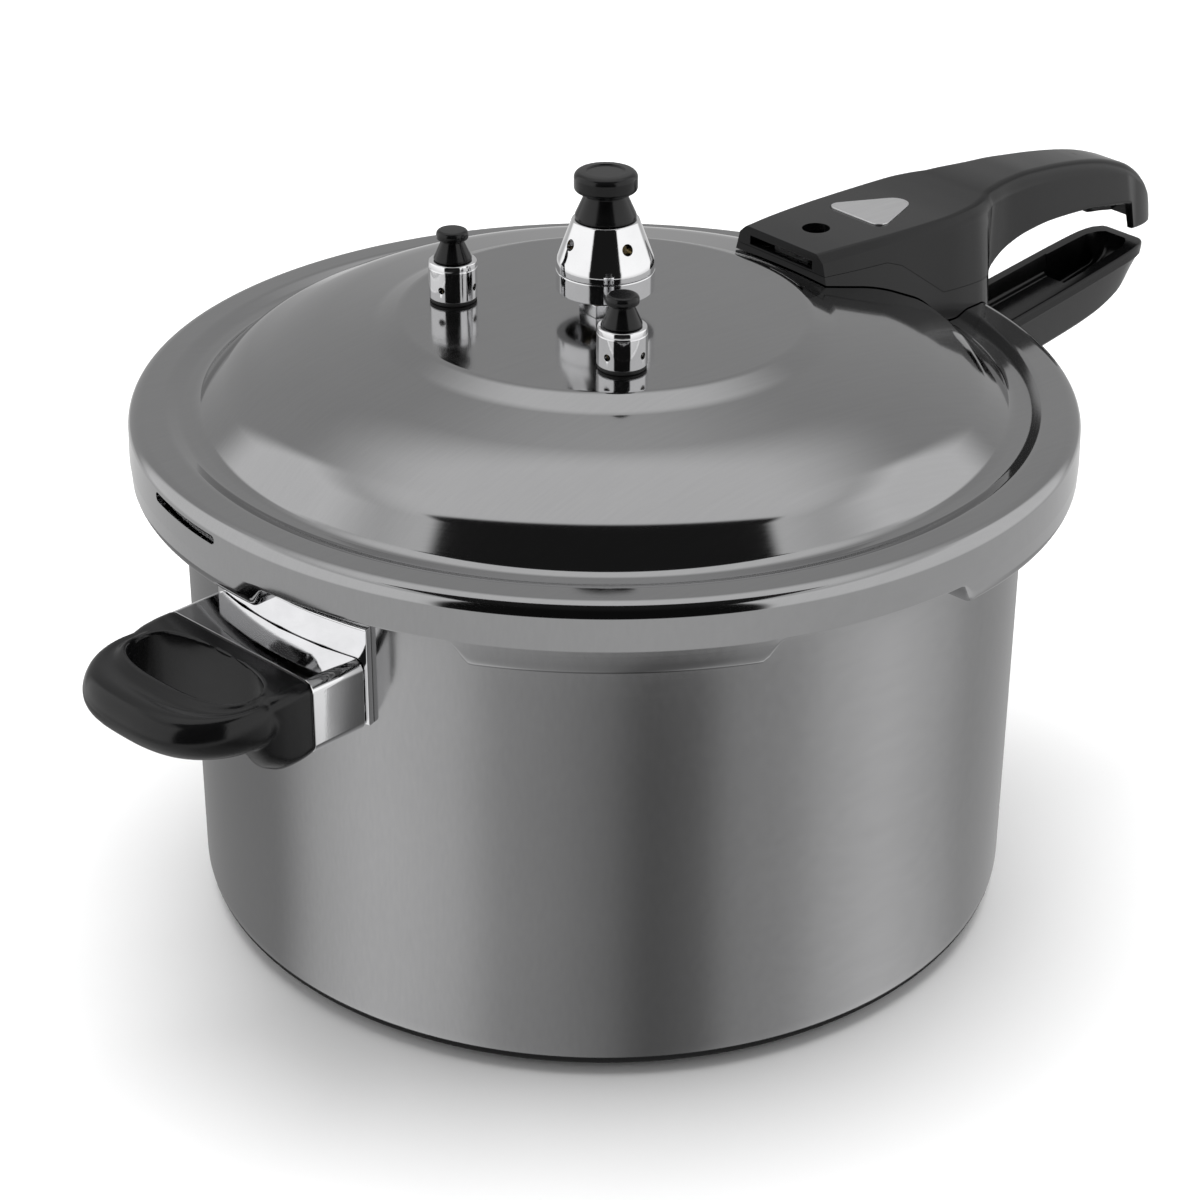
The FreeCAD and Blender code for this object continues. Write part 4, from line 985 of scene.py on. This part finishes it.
def compass(nodes, direction):
    """Degrees round from the camera, positive to its right, and degrees above the horizon."""
    angle = math.radians(CAMERA_AZIMUTH)
    towards = (math.sin(angle), -math.cos(angle), 0)
    right = (math.cos(angle), math.sin(angle), 0)
    front = nodes.dot(direction, towards)
    side = nodes.dot(direction, right)
    height = nodes.add("ShaderNodeSeparateXYZ", {0: direction}).outputs[2]
    around = nodes.math("DEGREES", nodes.math("ARCTAN2", side, front))
    above = nodes.math("DEGREES", nodes.math("ARCSINE", height))
    return around, above, side, front, height


# azimuth start, azimuth end, elevation start, elevation end, soft edge, level on top of the room's grey
SOFT_BOXES = [
    (-130, -36, -12, 46, 6.0, 0.60),       # left panel
    (34, 130, -12, 46, 6.0, 0.60),         # right panel
    (-400, 400, 50, 120, 13.0, 0.54),      # overhead sheet
]
ROOM = 0.46
TABLE = 0.70
DARK_FRONT = (-37, 36, -14, 70, 2.0)       # the unlit side of the studio, behind the camera
DARK_CEILING = (-0.60, 0.60, 0.09, 6.0)    # and the unlit ceiling above it: side and depth over height


def make_world():
    world = bpy.data.worlds.new("studio")
    bpy.context.scene.world = world
    world.use_nodes = True
    nodes = Nodes(world.node_tree)
    direction = nodes.add("ShaderNodeTexCoord").outputs["Generated"]
    around, above, side, front, height = compass(nodes, direction)
    level = nodes.ramp(above, TABLE, ROOM, -14.0, -8.0)
    for start, end, low, high, soft, strength in SOFT_BOXES:
        panel = softened_patch(nodes, around, above, start, end, low, high, soft)
        level = nodes.math("ADD", level, nodes.math("MULTIPLY", panel, strength))
    dark = softened_patch(nodes, around, above, *DARK_FRONT)
    left, right, near, far = DARK_CEILING
    lift = nodes.math("MAXIMUM", height, 0.02)
    across = softened(nodes, nodes.math("DIVIDE", side, lift), left, right, 0.03)
    along = softened(nodes, nodes.math("DIVIDE", front, lift), near, far, 0.03)
    dark = nodes.math("MAXIMUM", dark, nodes.math("MULTIPLY", across, along))
    level = nodes.math("MULTIPLY", level, nodes.math("SUBTRACT", 1.0, nodes.math("MULTIPLY", dark, 0.98)))
    background = nodes.add("ShaderNodeBackground", {"Color": (1, 1, 1, 1), "Strength": level})
    nodes.add("ShaderNodeOutputWorld", {"Surface": background.outputs[0]})


# degrees round the pot's wall from the camera, and the brightness of the table that it reflects there
TABLE_BANDS = [
    (-90, 0.30), (-73, 0.32), (-52, 0.34), (-41, 0.74), (-31, 0.90), (-21, 0.78), (-13, 0.50),
    (-6, 0.40), (0, 0.30), (6.7, 0.17), (12, 0.22), (18, 0.42), (25, 0.52), (33, 0.76), (41, 0.88),
    (50, 0.72), (62, 0.47), (76, 0.46), (90, 0.38),
]


def make_table_reflection():
    """What the wall sees below the horizon: bands over the table, one from each upright line of it."""
    reach = (LID_EDGE - 2.0) / math.tan(math.radians(CAMERA_ELEVATION))
    vertices = []
    levels = []
    for step in range(181):
        angle = step - 90.0
        start = turned(CAMERA_AZIMUTH - 90 + angle) @ Vector((POT_RADIUS, 0, -1.0))
        outward = turned(CAMERA_AZIMUTH - 90 + 2 * angle) @ Vector((1, 0, 0))
        for share in (0.0, 0.25, 0.5, 0.75, 1.0):
            vertices.append(start + outward * reach * share)
            levels.append(eased(TABLE_BANDS, angle)[0])
    faces = []
    for step in range(180):
        for column in range(4):
            corner = step * 5 + column
            faces.append((corner, corner + 1, corner + 6, corner + 5))
    mesh = bpy.data.meshes.new("table_reflection")
    mesh.from_pydata([v * MM for v in vertices], [], faces)
    mesh.attributes.new("level", "FLOAT", "POINT").data.foreach_set("value", levels)
    table = bpy.data.objects.new("table_reflection", mesh)
    bpy.context.scene.collection.objects.link(table)
    shadow = lathe("table_shade", [(0, -2.0), (POT_RADIUS + 3, -2.0), (POT_RADIUS + 3, -1.5), (0, -1.5)])
    for piece in (table, shadow):
        material = bpy.data.materials.new(piece.name)
        material.use_nodes = True
        nodes = Nodes(material.node_tree)
        glow = nodes.add("ShaderNodeEmission", {"Strength": 0.03})
        if piece is table:
            level = nodes.add("ShaderNodeAttribute", attribute_name="level")
            nodes.set(glow.inputs["Strength"], level.outputs["Fac"])
        nodes.add("ShaderNodeOutputMaterial", {"Surface": glow.outputs[0]})
        piece.data.materials.append(material)
        piece.visible_camera = False
        piece.visible_diffuse = False
        piece.visible_shadow = False


def make_floor():
    floor = lathe("floor", [(0, -1.0), (9000, -1.0), (9000, 0.0), (0, 0.0)], detail=6.0)
    floor.data.transform(Matrix.Translation(Vector((0, 0, -0.2 * MM))))
    material, _, shader, _ = new_material("pale_floor")
    shader.inputs["Base Color"].default_value = (0.93, 0.93, 0.93, 1)
    shader.inputs["Roughness"].default_value = 0.9
    shader.inputs["Specular IOR Level"].default_value = 0.0
    floor.data.materials.append(material)
    floor.visible_glossy = False


def make_lights():
    """A broad lamp overhead that lights the floor and the plastic softly; the world gives the reflections."""
    lamp = bpy.data.lights.new("overhead", "AREA")
    lamp.shape = "DISK"
    lamp.size = 2.4
    lamp.energy = 60.0
    overhead = bpy.data.objects.new("overhead", lamp)
    overhead.location = (0.2, 0.3, 2.2)
    overhead.visible_glossy = False
    bpy.context.scene.collection.objects.link(overhead)


def make_camera():
    """Looks at the pot's axis from the right of the helper handle, a little above the lid."""
    data = bpy.data.cameras.new("camera")
    data.sensor_width = 36.0
    data.lens = 87.0
    data.shift_x = -0.0029
    data.shift_y = 0.0008
    camera = bpy.data.objects.new("camera", data)
    azimuth = math.radians(CAMERA_AZIMUTH)
    elevation = math.radians(CAMERA_ELEVATION)
    along = math.cos(elevation)
    back = Vector((math.sin(azimuth) * along, -math.cos(azimuth) * along, math.sin(elevation)))
    camera.location = Vector((0, 0, 0.090)) + back * 0.926
    level = (-back).to_track_quat("-Z", "Y").to_matrix().to_4x4()
    roll = Matrix.Rotation(math.radians(0.333), 4, "Z")
    camera.matrix_world = Matrix.Translation(camera.location) @ level @ roll
    bpy.context.scene.collection.objects.link(camera)
    bpy.context.scene.camera = camera
    bpy.context.scene.view_settings.view_transform = "Standard"


dress_cad_nodes()
make_pot()
make_lid()
make_sealing_ring()
make_weight()
make_vent()
make_valve("a", 73.5)
make_valve("b", 47.5)
make_upper_handle()
make_grip_cover()
make_lower_handle()
make_sleeve()
make_helper_handle()
make_bracket_plates()
make_world()
make_table_reflection()
make_floor()
make_lights()
make_camera()
